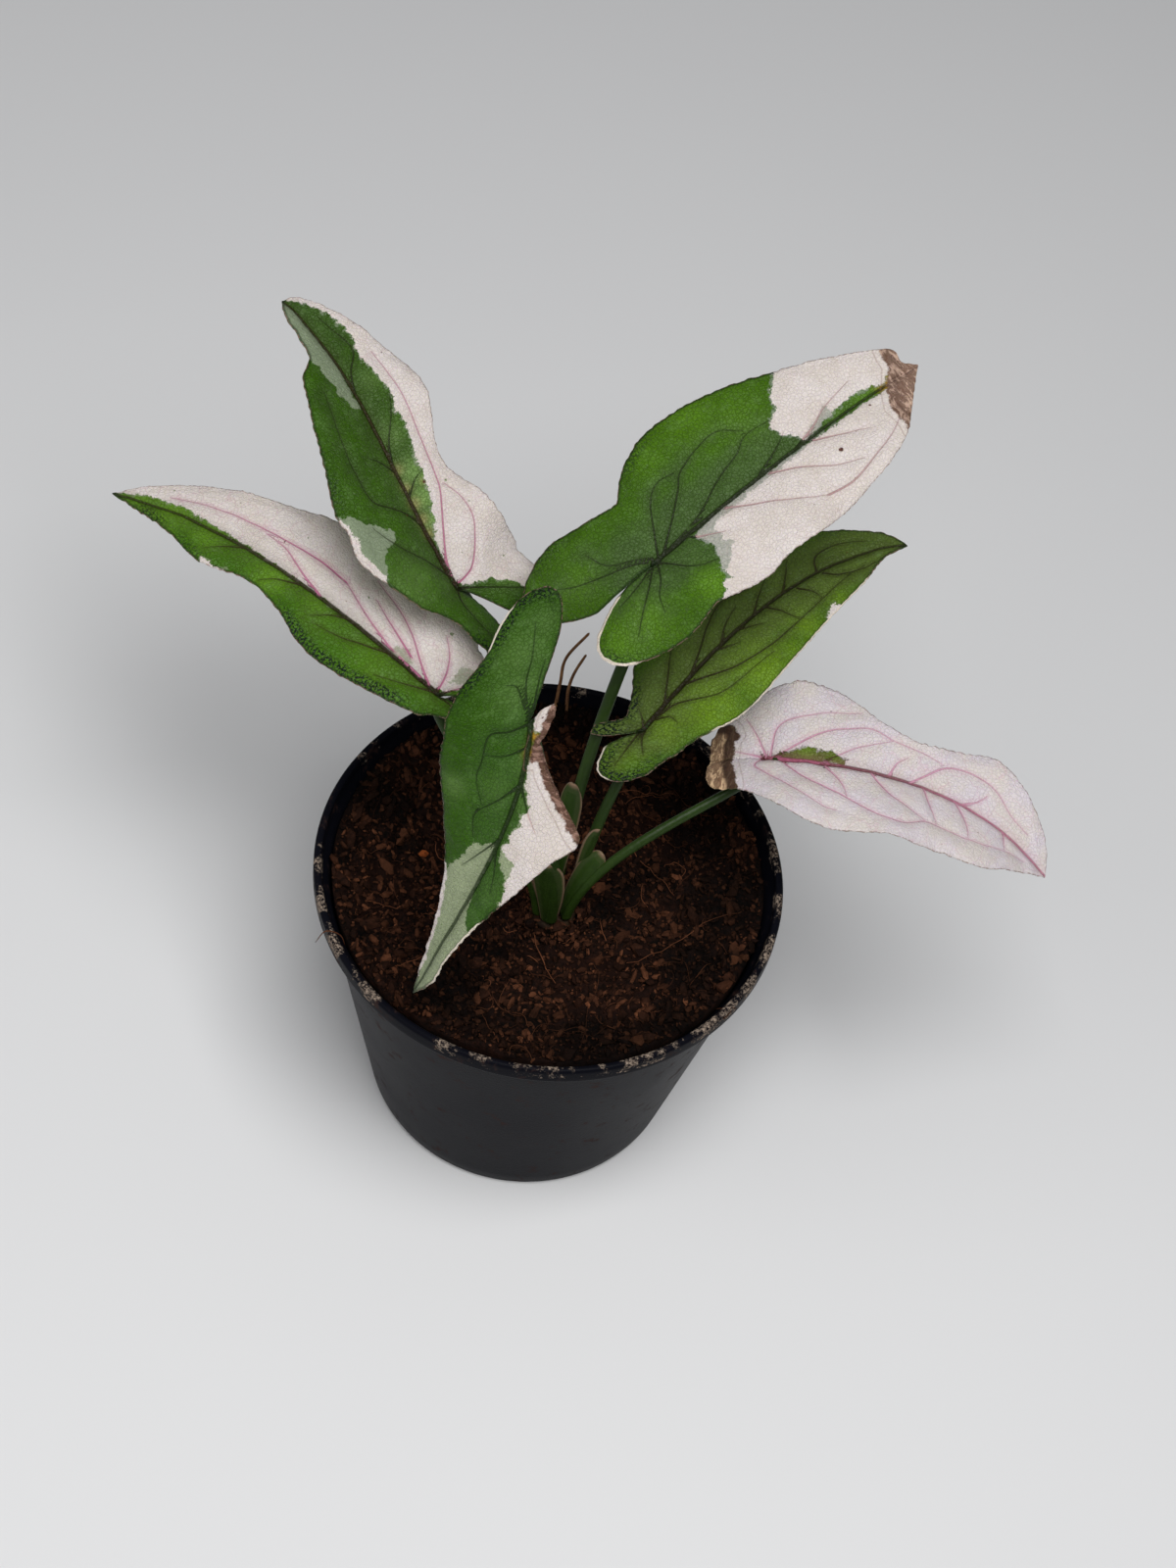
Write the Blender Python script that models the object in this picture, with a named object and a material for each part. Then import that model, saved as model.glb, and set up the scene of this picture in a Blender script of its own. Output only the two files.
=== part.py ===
# Variegated arrowhead plant: six leaves in a black nursery pot of coir.
# Metres, +Z up. The origin is the centre of the pot's flat underside.
# The viewer stands towards -Y. "Left" and "right" of a leaf are seen from its
# stalk towards its tip, upper face towards the eye.
import math

import bmesh
import bpy
from mathutils import Matrix, Vector, noise

MM = 0.001

# Fit between pieces that touch
GAP = 0.3 * MM

# Pot
POT_HEIGHT = 76.0 * MM
POT_FOOT_RADIUS = 34.5 * MM
POT_NECK_RADIUS = 47.6 * MM
POT_RIM_RADIUS = 50.0 * MM
POT_NECK_HEIGHT = 71.6 * MM
POT_WALL = 1.1 * MM
POT_FLOOR = 1.6 * MM
POT_SIDES = 56
DRAIN_RADIUS = 3.5 * MM
DRAIN_RING = 26.0 * MM
DRAIN_COUNT = 6

# Soil
SOIL_TOP = 71.4 * MM
SOIL_RINGS = 20
SOIL_SIDES = 72
SOIL_LUMP = 2.6 * MM
SOIL_MOUND = 1.3 * MM

# Stem crown, standing in a plain hole in the soil
CROWN_X = 2.0 * MM
CROWN_Y = -9.0 * MM
CROWN_BOTTOM = 53.0 * MM
CROWN_TOP = 75.0 * MM
CROWN_RADIUS = 5.0 * MM

# Leaf stalks. The seat is how far the stalk meets the blade from the notch, in mm
STALK_RING = 3.4 * MM
STALK_FOOT_RADIUS = 1.3 * MM
STALK_HEAD_RADIUS = 1.15 * MM
STALK_RINGS = 14
STALK_SEAT = 1.9

# Leaf blades
BLADE_THICK = 0.7 * MM
BLADE_ROWS = 16
LOBE_ROWS = 7
BLADE_COLUMNS = 4
RIPPLE_REACH = 16.0

# Each leaf, in millimetres and degrees.
# colour: mean colour. attach: where the stalk meets the blade. length: from there
# to the tip.
# heading, pitch: direction of the midrib, with its change along the blade.
# fold, curl: rise of each half at the midrib, and its bend per 20 mm outwards.
# lobe_drop, lobe_turn: bend of the rear lobes down per 20 mm, and to the right.
# ripple: height, wavelength and phase of the waved margin on each side.
# main, lobe, sinus: outline of each half as (outwards, forwards) points.
# foot: direction of the stalk's foot round the crown. rise, reach: how far the
# stalk keeps its first and its last direction. arrive: shares of the blade's
# normal, of the midrib and of the blade's right in that last direction.
# sheath: half width of the sheath wings and the part of the stalk they cover.
LEAVES = {
    "back_left": dict(
        colour=(0.30, 0.42, 0.20),
        attach=(-27.4, 16.7, 142.0), length=68.5,
        heading=(141.5, -53.0, 59.5), pitch=(32.5, -22.0),
        fold=(20.0, 13.0), curl=(-19.0, -17.5), lobe_drop=(10.0, 15.5),
        lobe_turn=28.0, ripple=((0.4, 24.0, -22.0), (2.2, 25.0, -85.0)),
        main=(
            ((0, 68.5), (2.6, 65.5), (3.6, 60), (5.3, 54), (9.4, 50), (12.3, 40.5), (15.2, 29.5),
             (16.9, 21.8), (16.4, 17.5), (17.2, 12), (13, 4)),
            ((0, 68.5), (2.8, 67.2), (6.2, 61), (10.4, 51.5), (12.9, 43.5), (12.9, 37.5),
             (10.6, 29.5), (10.2, 23.5), (13.6, 16.2), (15, 10), (17.3, 1.5)),
        ),
        lobe=(
            ((13, 4), (9.3, -2.4), (8.6, -6), (9.8, -10.5), (9.8, -14), (7, -15.5)),
            ((17.3, 1.5), (15.5, -4), (14, -9), (11.5, -12.5), (8, -13.5)),
        ),
        sinus=(
            ((7, -15.5), (3, -12), (0.3, -6), (0, 0)),
            ((8, -13.5), (3, -10.5), (1.3, -4.5), (0, 0)),
        ),
        foot=150.0, rise=34.0, reach=19.0, arrive=(0.59, 0.63, -0.52),
        sheath=(0.8, 0.15, 0.45),
    ),
    "left": dict(
        colour=(0.42, 0.48, 0.30),
        attach=(-27.5, 0.4, 128.0), length=82.0,
        heading=(153.0, -13.5, 26.5), pitch=(16.5, -28.5),
        fold=(-2.5, 15.5), curl=(-28.0, -13.5), lobe_drop=(20.0, 18.0),
        lobe_turn=28.0, ripple=((1.6, 24.0, -98.0), (0.7, 26.0, -18.0)),
        main=(
            ((0, 82), (2.1, 75.5), (4.6, 66), (7.5, 57.5), (7, 51.5), (5.8, 44.5), (7.5, 36),
             (10.1, 29), (10.9, 21), (9.7, 12.5), (7, 3)),
            ((0, 82), (3.3, 76.4), (6.9, 68.6), (10.1, 59.6), (13.1, 49.6), (15.2, 41.5),
             (17.2, 30), (17.5, 17.5), (15, 3)),
        ),
        lobe=(
            ((7, 3), (4.9, -3.5), (6, -8), (6.3, -11), (4.6, -12.8)),
            ((15, 3), (12, -1.5), (10, -4.5), (7.5, -7), (5, -8)),
        ),
        sinus=(
            ((4.6, -12.8), (2.4, -9), (0.8, -4), (0, 0)),
            ((5, -8), (2.2, -6.5), (0.9, -3.2), (0, 0)),
        ),
        foot=210.0, rise=26.0, reach=13.0, arrive=(0.9, 0.35, 0.0),
        sheath=(0.8, 0.15, 0.45),
    ),
    "back_right": dict(
        colour=(0.38, 0.46, 0.26),
        attach=(10.3, 16.4, 160.0), length=65.5,
        heading=(45.0, 4.1, -8.0), pitch=(24.5, -10.8),
        fold=(15.0, 6.5), curl=(-13.0, -25.0), lobe_drop=(31.0, 17.5),
        lobe_turn=-3.0, ripple=((0.3, 28.0, 0.0), (1.4, 24.0, 82.0)),
        main=(
            ((0, 65.5), (2.4, 63.3), (5.8, 63), (10, 55.2), (14.6, 45), (18, 35.5), (21.6, 25),
             (22, 15.5), (18.9, 7.6), (14.2, 2)),
            ((0, 65.5), (2.5, 63), (7.8, 58), (11.3, 54.3), (14.4, 47.6), (15.8, 40.5), (17.1, 30),
             (16.6, 20), (17.1, 14.5), (15, 3.5)),
        ),
        lobe=(
            ((14.2, 2), (14.9, -3), (16.9, -12), (15.5, -20.5), (11, -25.5)),
            ((15, 3.5), (16.6, -3), (16, -9), (13.5, -16.5), (8.5, -20)),
        ),
        sinus=(
            ((11, -25.5), (3, -20), (0.3, -12), (0.1, -5), (0, 0)),
            ((8.5, -20), (3.6, -16.8), (1.5, -10), (0.6, -5), (0, 0)),
        ),
        foot=90.0, rise=52.0, reach=14.0, arrive=(0.9, 0.35, 0.0),
        sheath=(1.1, 0.15, 0.5),
    ),
    "front": dict(
        colour=(0.16, 0.32, 0.09),
        attach=(-7.9, -16.2, 146.0), length=66.0,
        heading=(280.0, -110.5, 45.0), pitch=(-43.0, -30.0),
        fold=(10.0, 5.5), curl=(-18.0, -21.0), lobe_drop=(10.0, 9.0),
        lobe_turn=-21.0, ripple=((1.6, 22.0, -4.0), (0.3, 24.0, 5.0)),
        main=(
            ((0, 66), (2.8, 59.5), (3.4, 50), (4.9, 41), (8.4, 30.5), (11.4, 23), (14.6, 18.4),
             (11.4, 15), (6, 10.6)),
            ((0, 66), (2.2, 58.5), (4.4, 47.2), (8, 36.5), (13, 25), (16.3, 14.5), (16.3, 3)),
        ),
        lobe=(
            ((6, 10.6), (2.1, 5), (3.4, 1.5), (4, -1.5), (3, -3.8)),
            ((16.3, 3), (16, -5.5), (13.9, -11.5), (13.5, -18), (11.2, -24), (7.5, -26)),
        ),
        sinus=(
            ((3, -3.8), (1.2, -2.6), (0.5, -1.2), (0, 0)),
            ((7.5, -26), (2.4, -19), (0.9, -8), (0, 0)),
        ),
        foot=270.0, rise=34.0, reach=10.0, arrive=(0.9, 0.35, 0.0),
        sheath=(1.0, 0.12, 0.42),
    ),
    "right": dict(
        colour=(0.15, 0.34, 0.06),
        attach=(13.8, 2.7, 125.0), length=71.0,
        heading=(57.0, 7.0, -43.5), pitch=(21.0, -20.0),
        fold=(8.5, 7.0), curl=(-20.5, -23.5), lobe_drop=(18.0, 9.0),
        lobe_turn=-32.0, ripple=((0.9, 24.0, -7.0), (1.1, 24.0, 6.0)),
        main=(
            ((0, 71), (4.5, 65.5), (8.5, 55.5), (12.5, 43.5), (14.5, 29), (13, 14.5), (6, 3.5)),
            ((0, 71), (3.3, 63.6), (7.8, 56), (11.1, 43), (13.5, 29), (14.1, 15), (9.7, 4)),
        ),
        lobe=(
            ((6, 3.5), (4.4, -0.5), (5, -3), (5.2, -5), (3.6, -7)),
            ((9.7, 4), (8.9, -1), (10.8, -7), (10.3, -11.3), (7.5, -12.4)),
        ),
        sinus=(
            ((3.6, -7), (1.8, -5.6), (0.5, -2.6), (0, 0)),
            ((7.5, -12.4), (3, -9.8), (0.3, -6.3), (0, 0)),
        ),
        foot=30.0, rise=36.0, reach=17.0, arrive=(0.6, 0.7, 0.0),
        sheath=(0.8, 0.2, 0.55),
    ),
    "low_right": dict(
        colour=(0.72, 0.62, 0.62),
        attach=(39.8, 11.0, 112.0), length=64.0,
        heading=(-4.5, 16.5, -48.0), pitch=(15.0, -42.5),
        fold=(19.0, 15.0), curl=(-9.0, -19.5), lobe_drop=(29.0, 20.0),
        lobe_turn=4.0, ripple=((1.5, 24.0, 31.0), (1.1, 24.0, 10.0)),
        main=(
            ((0, 64), (4.9, 59.2), (10.1, 50.6), (13, 43.4), (10.8, 38), (9, 30), (11.4, 22),
             (16.3, 14.3), (17.1, 7), (15.8, 0.5)),
            ((0, 64), (4.7, 59.5), (11.9, 51), (13.8, 42.5), (15.8, 32.5), (16.6, 21),
             (16.3, 10.5), (12.6, 3)),
        ),
        lobe=(
            ((15.8, 0.5), (12.4, -5.1), (8.6, -8.2), (7, -10.5), (5.4, -12)),
            ((12.6, 3), (9.4, -3), (8.8, -6.5), (8.2, -9.5), (5.4, -11.4)),
        ),
        sinus=(
            ((5.4, -12), (1.4, -11.2), (0.4, -5), (0, 0)),
            ((5.4, -11.4), (1.4, -10.8), (0.4, -5), (0, 0)),
        ),
        foot=330.0, rise=30.0, reach=16.0, arrive=(0.8, 0.5, 0.0),
        sheath=(1.4, 0.12, 0.5),
    ),
}

# Two dry roots behind the rim, in millimetres, from the hole upwards
ROOTS = {
    "1": ((-5.2, 44.4, 66), (-5.2, 44.4, 73), (-5, 47.5, 79), (-4.6, 50.6, 84), (-0.5, 53.8, 90)),
    "2": ((-2.6, 44.4, 66), (-2.6, 44.4, 72.5), (-3, 47.3, 77), (-2.3, 50, 80), (-0.4, 52.5, 84)),
}
ROOT_RADIUS = 0.45 * MM


# Start from an empty file
def clear_scene():
    for old in list(bpy.data.objects):
        bpy.data.objects.remove(old, do_unlink=True)


def make_material(name, colour, roughness):
    material = bpy.data.materials.new(name)
    material.use_nodes = True
    shader = material.node_tree.nodes["Principled BSDF"]
    shader.inputs["Base Color"].default_value = (*colour, 1.0)
    shader.inputs["Roughness"].default_value = roughness
    material.diffuse_color = (*colour, 1.0)
    return material


def add_object(name, verts, faces, material=None):
    mesh = bpy.data.meshes.new(name)
    mesh.from_pydata([tuple(v) for v in verts], [], faces)
    bm = bmesh.new()
    bm.from_mesh(mesh)
    bmesh.ops.remove_doubles(bm, verts=bm.verts, dist=1e-7)
    bmesh.ops.recalc_face_normals(bm, faces=bm.faces)
    bm.to_mesh(mesh)
    bm.free()
    obj = bpy.data.objects.new(name, mesh)
    bpy.context.scene.collection.objects.link(obj)
    if material:
        obj.data.materials.append(material)
    return obj


def cut(target, cutter):
    cutter.hide_render = True
    cutter.display_type = "WIRE"
    change = target.modifiers.new("cut_" + cutter.name, "BOOLEAN")
    change.operation = "DIFFERENCE"
    change.solver = "EXACT"
    change.object = cutter


def add_cylinders(name, places, radius, low, high, sides):
    bm = bmesh.new()
    for x, y in places:
        bmesh.ops.create_cone(
            bm, cap_ends=True, segments=sides, radius1=radius, radius2=radius,
            depth=high - low, matrix=Matrix.Translation((x, y, (low + high) / 2)),
        )
    mesh = bpy.data.meshes.new(name)
    bm.to_mesh(mesh)
    bm.free()
    obj = bpy.data.objects.new(name, mesh)
    bpy.context.scene.collection.objects.link(obj)
    return obj


# A closed profile of (radius, height) turned round the Z axis
def revolve(profile, sides):
    verts = []
    faces = []
    for radius, height in profile:
        for k in range(sides):
            angle = 2 * math.pi * k / sides
            verts.append((radius * math.cos(angle), radius * math.sin(angle), height))
    for row in range(len(profile) - 1):
        for k in range(sides):
            a = row * sides + k
            b = row * sides + (k + 1) % sides
            faces.append((a, b, b + sides, a + sides))
    last = (len(profile) - 1) * sides
    faces.append(tuple(range(sides))[::-1])
    faces.append(tuple(last + k for k in range(sides)))
    return verts, faces


def pot_outer_radius(height):
    share = height / POT_NECK_HEIGHT
    return POT_FOOT_RADIUS + (POT_NECK_RADIUS - POT_FOOT_RADIUS) * share


def pot_inner_radius(height):
    return pot_outer_radius(height) - POT_WALL


def build_pot():
    rim = POT_RIM_RADIUS
    top = POT_HEIGHT
    neck = POT_NECK_HEIGHT
    profile = [
        (POT_FOOT_RADIUS - 1.0 * MM, 0.0),
        (POT_FOOT_RADIUS + 0.2 * MM, 1.0 * MM),
        (pot_outer_radius(neck / 2), neck / 2),
        (POT_NECK_RADIUS, neck),
        (rim - 0.6 * MM, neck + 0.2 * MM),
        (rim, neck + 0.8 * MM),
        (rim, top - 1.2 * MM),
        (rim - 0.5 * MM, top - 0.3 * MM),
        (rim - 1.4 * MM, top),
        (rim - 2.3 * MM, top - 0.4 * MM),
        (rim - 2.8 * MM, top - 1.4 * MM),
        (pot_inner_radius(neck), neck),
        (pot_inner_radius(POT_FLOOR + 1.0 * MM), POT_FLOOR + 1.0 * MM),
        (pot_inner_radius(0.0) - 1.2 * MM, POT_FLOOR),
    ]
    verts, faces = revolve(profile, POT_SIDES)
    pot = add_object("pot", verts, faces, make_material("pot_plastic", (0.012, 0.013, 0.018), 0.4))
    places = []
    for k in range(DRAIN_COUNT):
        angle = 2 * math.pi * (k + 0.5) / DRAIN_COUNT
        places.append((DRAIN_RING * math.cos(angle), DRAIN_RING * math.sin(angle)))
    drains = add_cylinders("drain_cutters", places, DRAIN_RADIUS, -1.0 * MM, POT_FLOOR + 0.6 * MM, 16)
    cut(pot, drains)
    return pot


# Lumps of coir: cells of unlike height with softer rolls under them
def soil_height(x, y):
    near = math.hypot(x - CROWN_X, y - CROWN_Y)
    mound = SOIL_MOUND * math.exp(-((near / (11.0 * MM)) ** 2))
    rolls = noise.noise(Vector((x, y, 0.0)) * 55.0)
    gaps = noise.voronoi(Vector((x, y, 0.003)) * 190.0)[0]
    chips = min(gaps[1] - gaps[0], 0.5) - 0.25
    return SOIL_TOP + mound + SOIL_LUMP * (0.55 * rolls + 1.2 * chips)


def build_soil():
    low = POT_FLOOR + GAP
    verts = []
    faces = []
    edge_top = SOIL_TOP - 0.4 * MM
    for row in range(1, SOIL_RINGS + 1):
        radius = (pot_inner_radius(edge_top) - GAP) * row / SOIL_RINGS
        for k in range(SOIL_SIDES):
            angle = 2 * math.pi * k / SOIL_SIDES
            x = radius * math.cos(angle)
            y = radius * math.sin(angle)
            height = soil_height(x, y)
            if row == SOIL_RINGS:
                height = edge_top
            verts.append((x, y, height))
    low_radius = pot_inner_radius(low + 2.0 * MM) - GAP
    for radius, height in ((low_radius, low + 2.0 * MM), (low_radius - 2.0 * MM, low)):
        for k in range(SOIL_SIDES):
            angle = 2 * math.pi * k / SOIL_SIDES
            verts.append((radius * math.cos(angle), radius * math.sin(angle), height))
    rings = SOIL_RINGS + 2
    for row in range(rings - 1):
        for k in range(SOIL_SIDES):
            a = row * SOIL_SIDES + k
            b = row * SOIL_SIDES + (k + 1) % SOIL_SIDES
            faces.append((a, a + SOIL_SIDES, b + SOIL_SIDES))
            faces.append((a, b + SOIL_SIDES, b))
    centre = len(verts)
    verts.append((0.0, 0.0, soil_height(0.0, 0.0)))
    for k in range(SOIL_SIDES):
        faces.append((centre, k, (k + 1) % SOIL_SIDES))
    last = (rings - 1) * SOIL_SIDES
    faces.append(tuple(last + k for k in range(SOIL_SIDES))[::-1])
    soil = add_object("soil", verts, faces, make_material("coir_soil", (0.075, 0.032, 0.018), 0.95))
    stem_hole = add_cylinders(
        "stem_hole", [(CROWN_X, CROWN_Y)], CROWN_RADIUS + GAP,
        CROWN_BOTTOM - GAP, CROWN_TOP + 10 * MM, 20,
    )
    cut(soil, stem_hole)
    for name, points in ROOTS.items():
        x, y, low = points[0]
        hole = add_cylinders(
            "root_hole_" + name, [(x * MM, y * MM)], ROOT_RADIUS + GAP,
            low * MM - GAP, CROWN_TOP + 10 * MM, 8,
        )
        cut(soil, hole)
    return soil


# The crown is a short stem with the scars of older leaves round it
def build_crown():
    top = CROWN_TOP - GAP
    profile = [
        (CROWN_RADIUS - 1.6 * MM, CROWN_BOTTOM),
        (CROWN_RADIUS - 0.6 * MM, CROWN_BOTTOM + 2.0 * MM),
        (CROWN_RADIUS - 0.2 * MM, 64.0 * MM),
        (CROWN_RADIUS - 0.5 * MM, 70.0 * MM),
        (CROWN_RADIUS, 72.4 * MM),
        (CROWN_RADIUS - 0.1 * MM, top - 0.4 * MM),
        (CROWN_RADIUS - 0.5 * MM, top),
    ]
    verts, faces = revolve(profile, 20)
    verts = [(x + CROWN_X, y + CROWN_Y, z) for x, y, z in verts]
    return add_object("stem", verts, faces, make_material("stem_skin", (0.10, 0.14, 0.04), 0.6))


# A smooth curve through a few points
def smooth_curve(points, steps):
    knots = [Vector((*p, 0.0)) if len(p) == 2 else Vector(p) for p in points]
    knots = [2 * knots[0] - knots[1]] + knots + [2 * knots[-1] - knots[-2]]
    curve = []
    for i in range(1, len(knots) - 2):
        a, b, c, d = knots[i - 1], knots[i], knots[i + 1], knots[i + 2]
        for k in range(steps):
            t = k / steps
            curve.append(
                0.5 * (2 * b + (c - a) * t + (2 * a - 5 * b + 4 * c - d) * t * t
                       + (3 * b - a - 3 * c + d) * t ** 3)
            )
    curve.append(knots[-2])
    return curve


# Points at even steps along a curve
def even_points(curve, count):
    lengths = [0.0]
    for a, b in zip(curve, curve[1:]):
        lengths.append(lengths[-1] + (b - a).length)
    result = []
    place = 0
    for k in range(count + 1):
        want = lengths[-1] * k / count
        while place < len(curve) - 2 and lengths[place + 1] < want:
            place += 1
        span = lengths[place + 1] - lengths[place]
        share = (want - lengths[place]) / span if span > 0 else 0.0
        result.append(curve[place].lerp(curve[place + 1], min(max(share, 0.0), 1.0)))
    return result


# Direction of the midrib at a distance along it
def midrib_direction(leaf, forward):
    t = forward / leaf["length"]
    heading = math.radians(leaf["heading"][0] + leaf["heading"][1] * t + leaf["heading"][2] * t * t)
    pitch = math.radians(leaf["pitch"][0] + leaf["pitch"][1] * t)
    return Vector((
        math.cos(pitch) * math.cos(heading),
        math.cos(pitch) * math.sin(heading),
        math.sin(pitch),
    ))


# Points of the midrib at every millimetre, which blade_point looks up
def midrib_points(leaf):
    points = [Vector(leaf["attach"])]
    for k in range(int(leaf["length"]) + 4):
        points.append(points[-1] + midrib_direction(leaf, k + 0.5))
    return points


# A point (outwards, forwards) of the flat leaf, carried to its place in space.
# Returns the point and the upward normal of the blade, in millimetres.
def blade_point(leaf, rib, side, out, forward):
    index = 0 if side < 0 else 1
    ahead = max(forward, 0.0)
    cell = min(int(ahead), len(rib) - 2)
    place = rib[cell].lerp(rib[cell + 1], ahead - cell)
    along = midrib_direction(leaf, ahead)
    right = along.cross(Vector((0.0, 0.0, 1.0))).normalized()
    up = right.cross(along)
    back = max(-forward, 0.0)
    bend = math.radians(leaf["lobe_drop"][index]) / 20.0
    angle = bend * back
    place = place + right * (back * math.tan(math.radians(leaf["lobe_turn"])))
    place = place - along * (math.sin(angle) / bend) - up * ((1 - math.cos(angle)) / bend)
    up = math.cos(angle) * up - math.sin(angle) * along
    rise = math.radians(leaf["fold"][index])
    curve = math.radians(leaf["curl"][index]) / 20.0
    tilt = rise + curve * out
    across = (math.sin(tilt) - math.sin(rise)) / curve
    height = (math.cos(rise) - math.cos(tilt)) / curve
    tall, length, phase = leaf["ripple"][index]
    reach = min(max(out / RIPPLE_REACH, 0.0), 1.4)
    wave = tall * reach ** 2 * math.sin(2 * math.pi * forward / length + math.radians(phase))
    normal = up * math.cos(tilt) - right * (side * math.sin(tilt))
    point = place + right * (side * across) + up * height + normal * wave
    return point, normal


# Both halves of a blade as rows of flat (side, outwards, forwards) places
def blade_grid(leaf, rows, lobe_rows, columns):
    halves = []
    for index, side in ((0, -1), (1, 1)):
        inner = even_points([Vector((0, leaf["length"], 0)), Vector((0, 0, 0))], rows)
        outer = even_points(smooth_curve(leaf["main"][index], 8), rows)
        sinus = smooth_curve(leaf["sinus"][index][::-1], 8)
        inner += even_points(sinus, lobe_rows)[1:]
        outer += even_points(smooth_curve(leaf["lobe"][index], 8), lobe_rows)[1:]
        grid = []
        for a, b in zip(inner, outer):
            line = []
            for k in range(columns + 1):
                place = a.lerp(b, k / columns)
                line.append((side, place.x, place.y))
            grid.append(line)
        halves.append(grid)
    return halves


def build_blade(name, leaf):
    rib = midrib_points(leaf)
    upper = []
    lower = []
    tris = []
    border = []
    half = BLADE_THICK / 2
    shared = {}
    for grid in blade_grid(leaf, BLADE_ROWS, LOBE_ROWS, BLADE_COLUMNS):
        ids = []
        for row, line in enumerate(grid):
            ids.append([])
            for column, (side, out, forward) in enumerate(line):
                tip = row == 0
                lobe_tip = row == len(grid) - 1
                on_rib = column == 0 and row <= BLADE_ROWS
                if tip or on_rib:
                    key = ("rib", row)
                elif lobe_tip:
                    key = (side, "lobe")
                else:
                    key = (side, row, column)
                if key not in shared:
                    point, normal = blade_point(leaf, rib, side, out, forward)
                    if key[0] == "rib":
                        other = blade_point(leaf, rib, -side, out, forward)[1]
                        normal = (normal + other).normalized()
                    shared[key] = len(upper)
                    upper.append(point * MM + normal * half)
                    lower.append(point * MM - normal * half)
                ids[-1].append(shared[key])
        for row in range(len(grid) - 1):
            for column in range(BLADE_COLUMNS):
                a = ids[row][column]
                b = ids[row][column + 1]
                c = ids[row + 1][column + 1]
                d = ids[row + 1][column]
                pair = ((a, b, c), (a, c, d)) if side > 0 else ((a, c, b), (a, d, c))
                tris += [t for t in pair if len(set(t)) == 3]
            border.append((side, ids[row][-1], ids[row + 1][-1]))
            if row >= BLADE_ROWS:
                border.append((-side, ids[row][0], ids[row + 1][0]))
    count = len(upper)
    faces = list(tris)
    faces += [(c + count, b + count, a + count) for a, b, c in tris]
    for side, a, b in border:
        edge = (a, a + count, b + count, b) if side > 0 else (b, b + count, a + count, a)
        faces.append(edge)
    return add_object("blade_" + name, upper + lower, faces)


# Outline of a stalk: round behind, hollowed in front, with thin sheath wings
def stalk_section(radius, wing):
    tip = radius + wing
    lift = 0.15 * radius + 0.35 * wing
    half = [
        (0.45 * radius, 0.9 * radius),
        (0.88 * radius, 0.5 * radius),
        (tip, -lift + 0.4 * MM),
        (tip - 0.15 * wing, -lift - 0.35 * MM),
        (0.6 * radius, -0.72 * radius),
    ]
    return half + [(-a, b) for a, b in half[::-1]]


def stalk_curve(leaf):
    rib = midrib_points(leaf)
    point, normal = blade_point(leaf, rib, 1, 0.0, STALK_SEAT)
    other = blade_point(leaf, rib, -1, 0.0, STALK_SEAT)[1]
    normal = (normal + other).normalized()
    along = midrib_direction(leaf, STALK_SEAT)
    head = point * MM
    angle = math.radians(leaf["foot"])
    out = Vector((math.cos(angle), math.sin(angle), 0.0))
    foot = Vector((CROWN_X, CROWN_Y, CROWN_TOP)) + out * STALK_RING
    first = foot + (out * 0.12 + Vector((0.0, 0.0, 1.0))) * leaf["rise"] * MM
    right = along.cross(Vector((0.0, 0.0, 1.0))).normalized()
    lift, lean, aside = leaf["arrive"]
    arrive = (normal * lift + along * lean + right * aside).normalized()
    last = head - arrive * leaf["reach"] * MM
    return foot, first, last, head, out


def build_stalk(name, leaf):
    rib = midrib_points(leaf)
    foot, first, last, head, out = stalk_curve(leaf)
    wing_width, wing_from, wing_to = leaf["sheath"]
    verts = []
    faces = []
    sides = len(stalk_section(1.0, 0.0))
    for ring in range(STALK_RINGS + 1):
        t = ring / STALK_RINGS
        s = 1 - t
        centre = foot * s ** 3 + first * (3 * s * s * t) + last * (3 * s * t * t) + head * t ** 3
        ahead = (first - foot) * s * s + (last - first) * (2 * s * t) + (head - last) * t * t
        ahead.normalize()
        if ring == 0:
            ahead = Vector((0.0, 0.0, 1.0))
        outward = (out - ahead * out.dot(ahead)).normalized()
        across = ahead.cross(outward)
        radius = STALK_FOOT_RADIUS + (STALK_HEAD_RADIUS - STALK_FOOT_RADIUS) * t
        middle = (t - wing_from) / (wing_to - wing_from)
        wing = 0.0
        if 0 < middle < 1:
            wing = wing_width * MM * math.sin(math.pi * middle ** 0.7)
        for a, b in stalk_section(radius, wing):
            verts.append(centre + across * a + outward * b)
    # The head follows the middle of the blade, so that both join without a step
    along = midrib_direction(leaf, STALK_SEAT)
    right = along.cross(Vector((0.0, 0.0, 1.0))).normalized()
    for k in range(len(verts) - sides, len(verts)):
        offset = (verts[k] - head) / MM
        out_mm = offset.dot(right)
        ahead_mm = STALK_SEAT + offset.dot(along)
        verts[k] = blade_point(leaf, rib, 1 if out_mm > 0 else -1, abs(out_mm), ahead_mm)[0] * MM
    for ring in range(STALK_RINGS):
        for k in range(sides):
            a = ring * sides + k
            b = ring * sides + (k + 1) % sides
            faces.append((a, b, b + sides, a + sides))
    faces.append(tuple(range(sides))[::-1])
    faces.append(tuple(STALK_RINGS * sides + k for k in range(sides)))
    return add_object("stalk_" + name, verts, faces)


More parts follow.
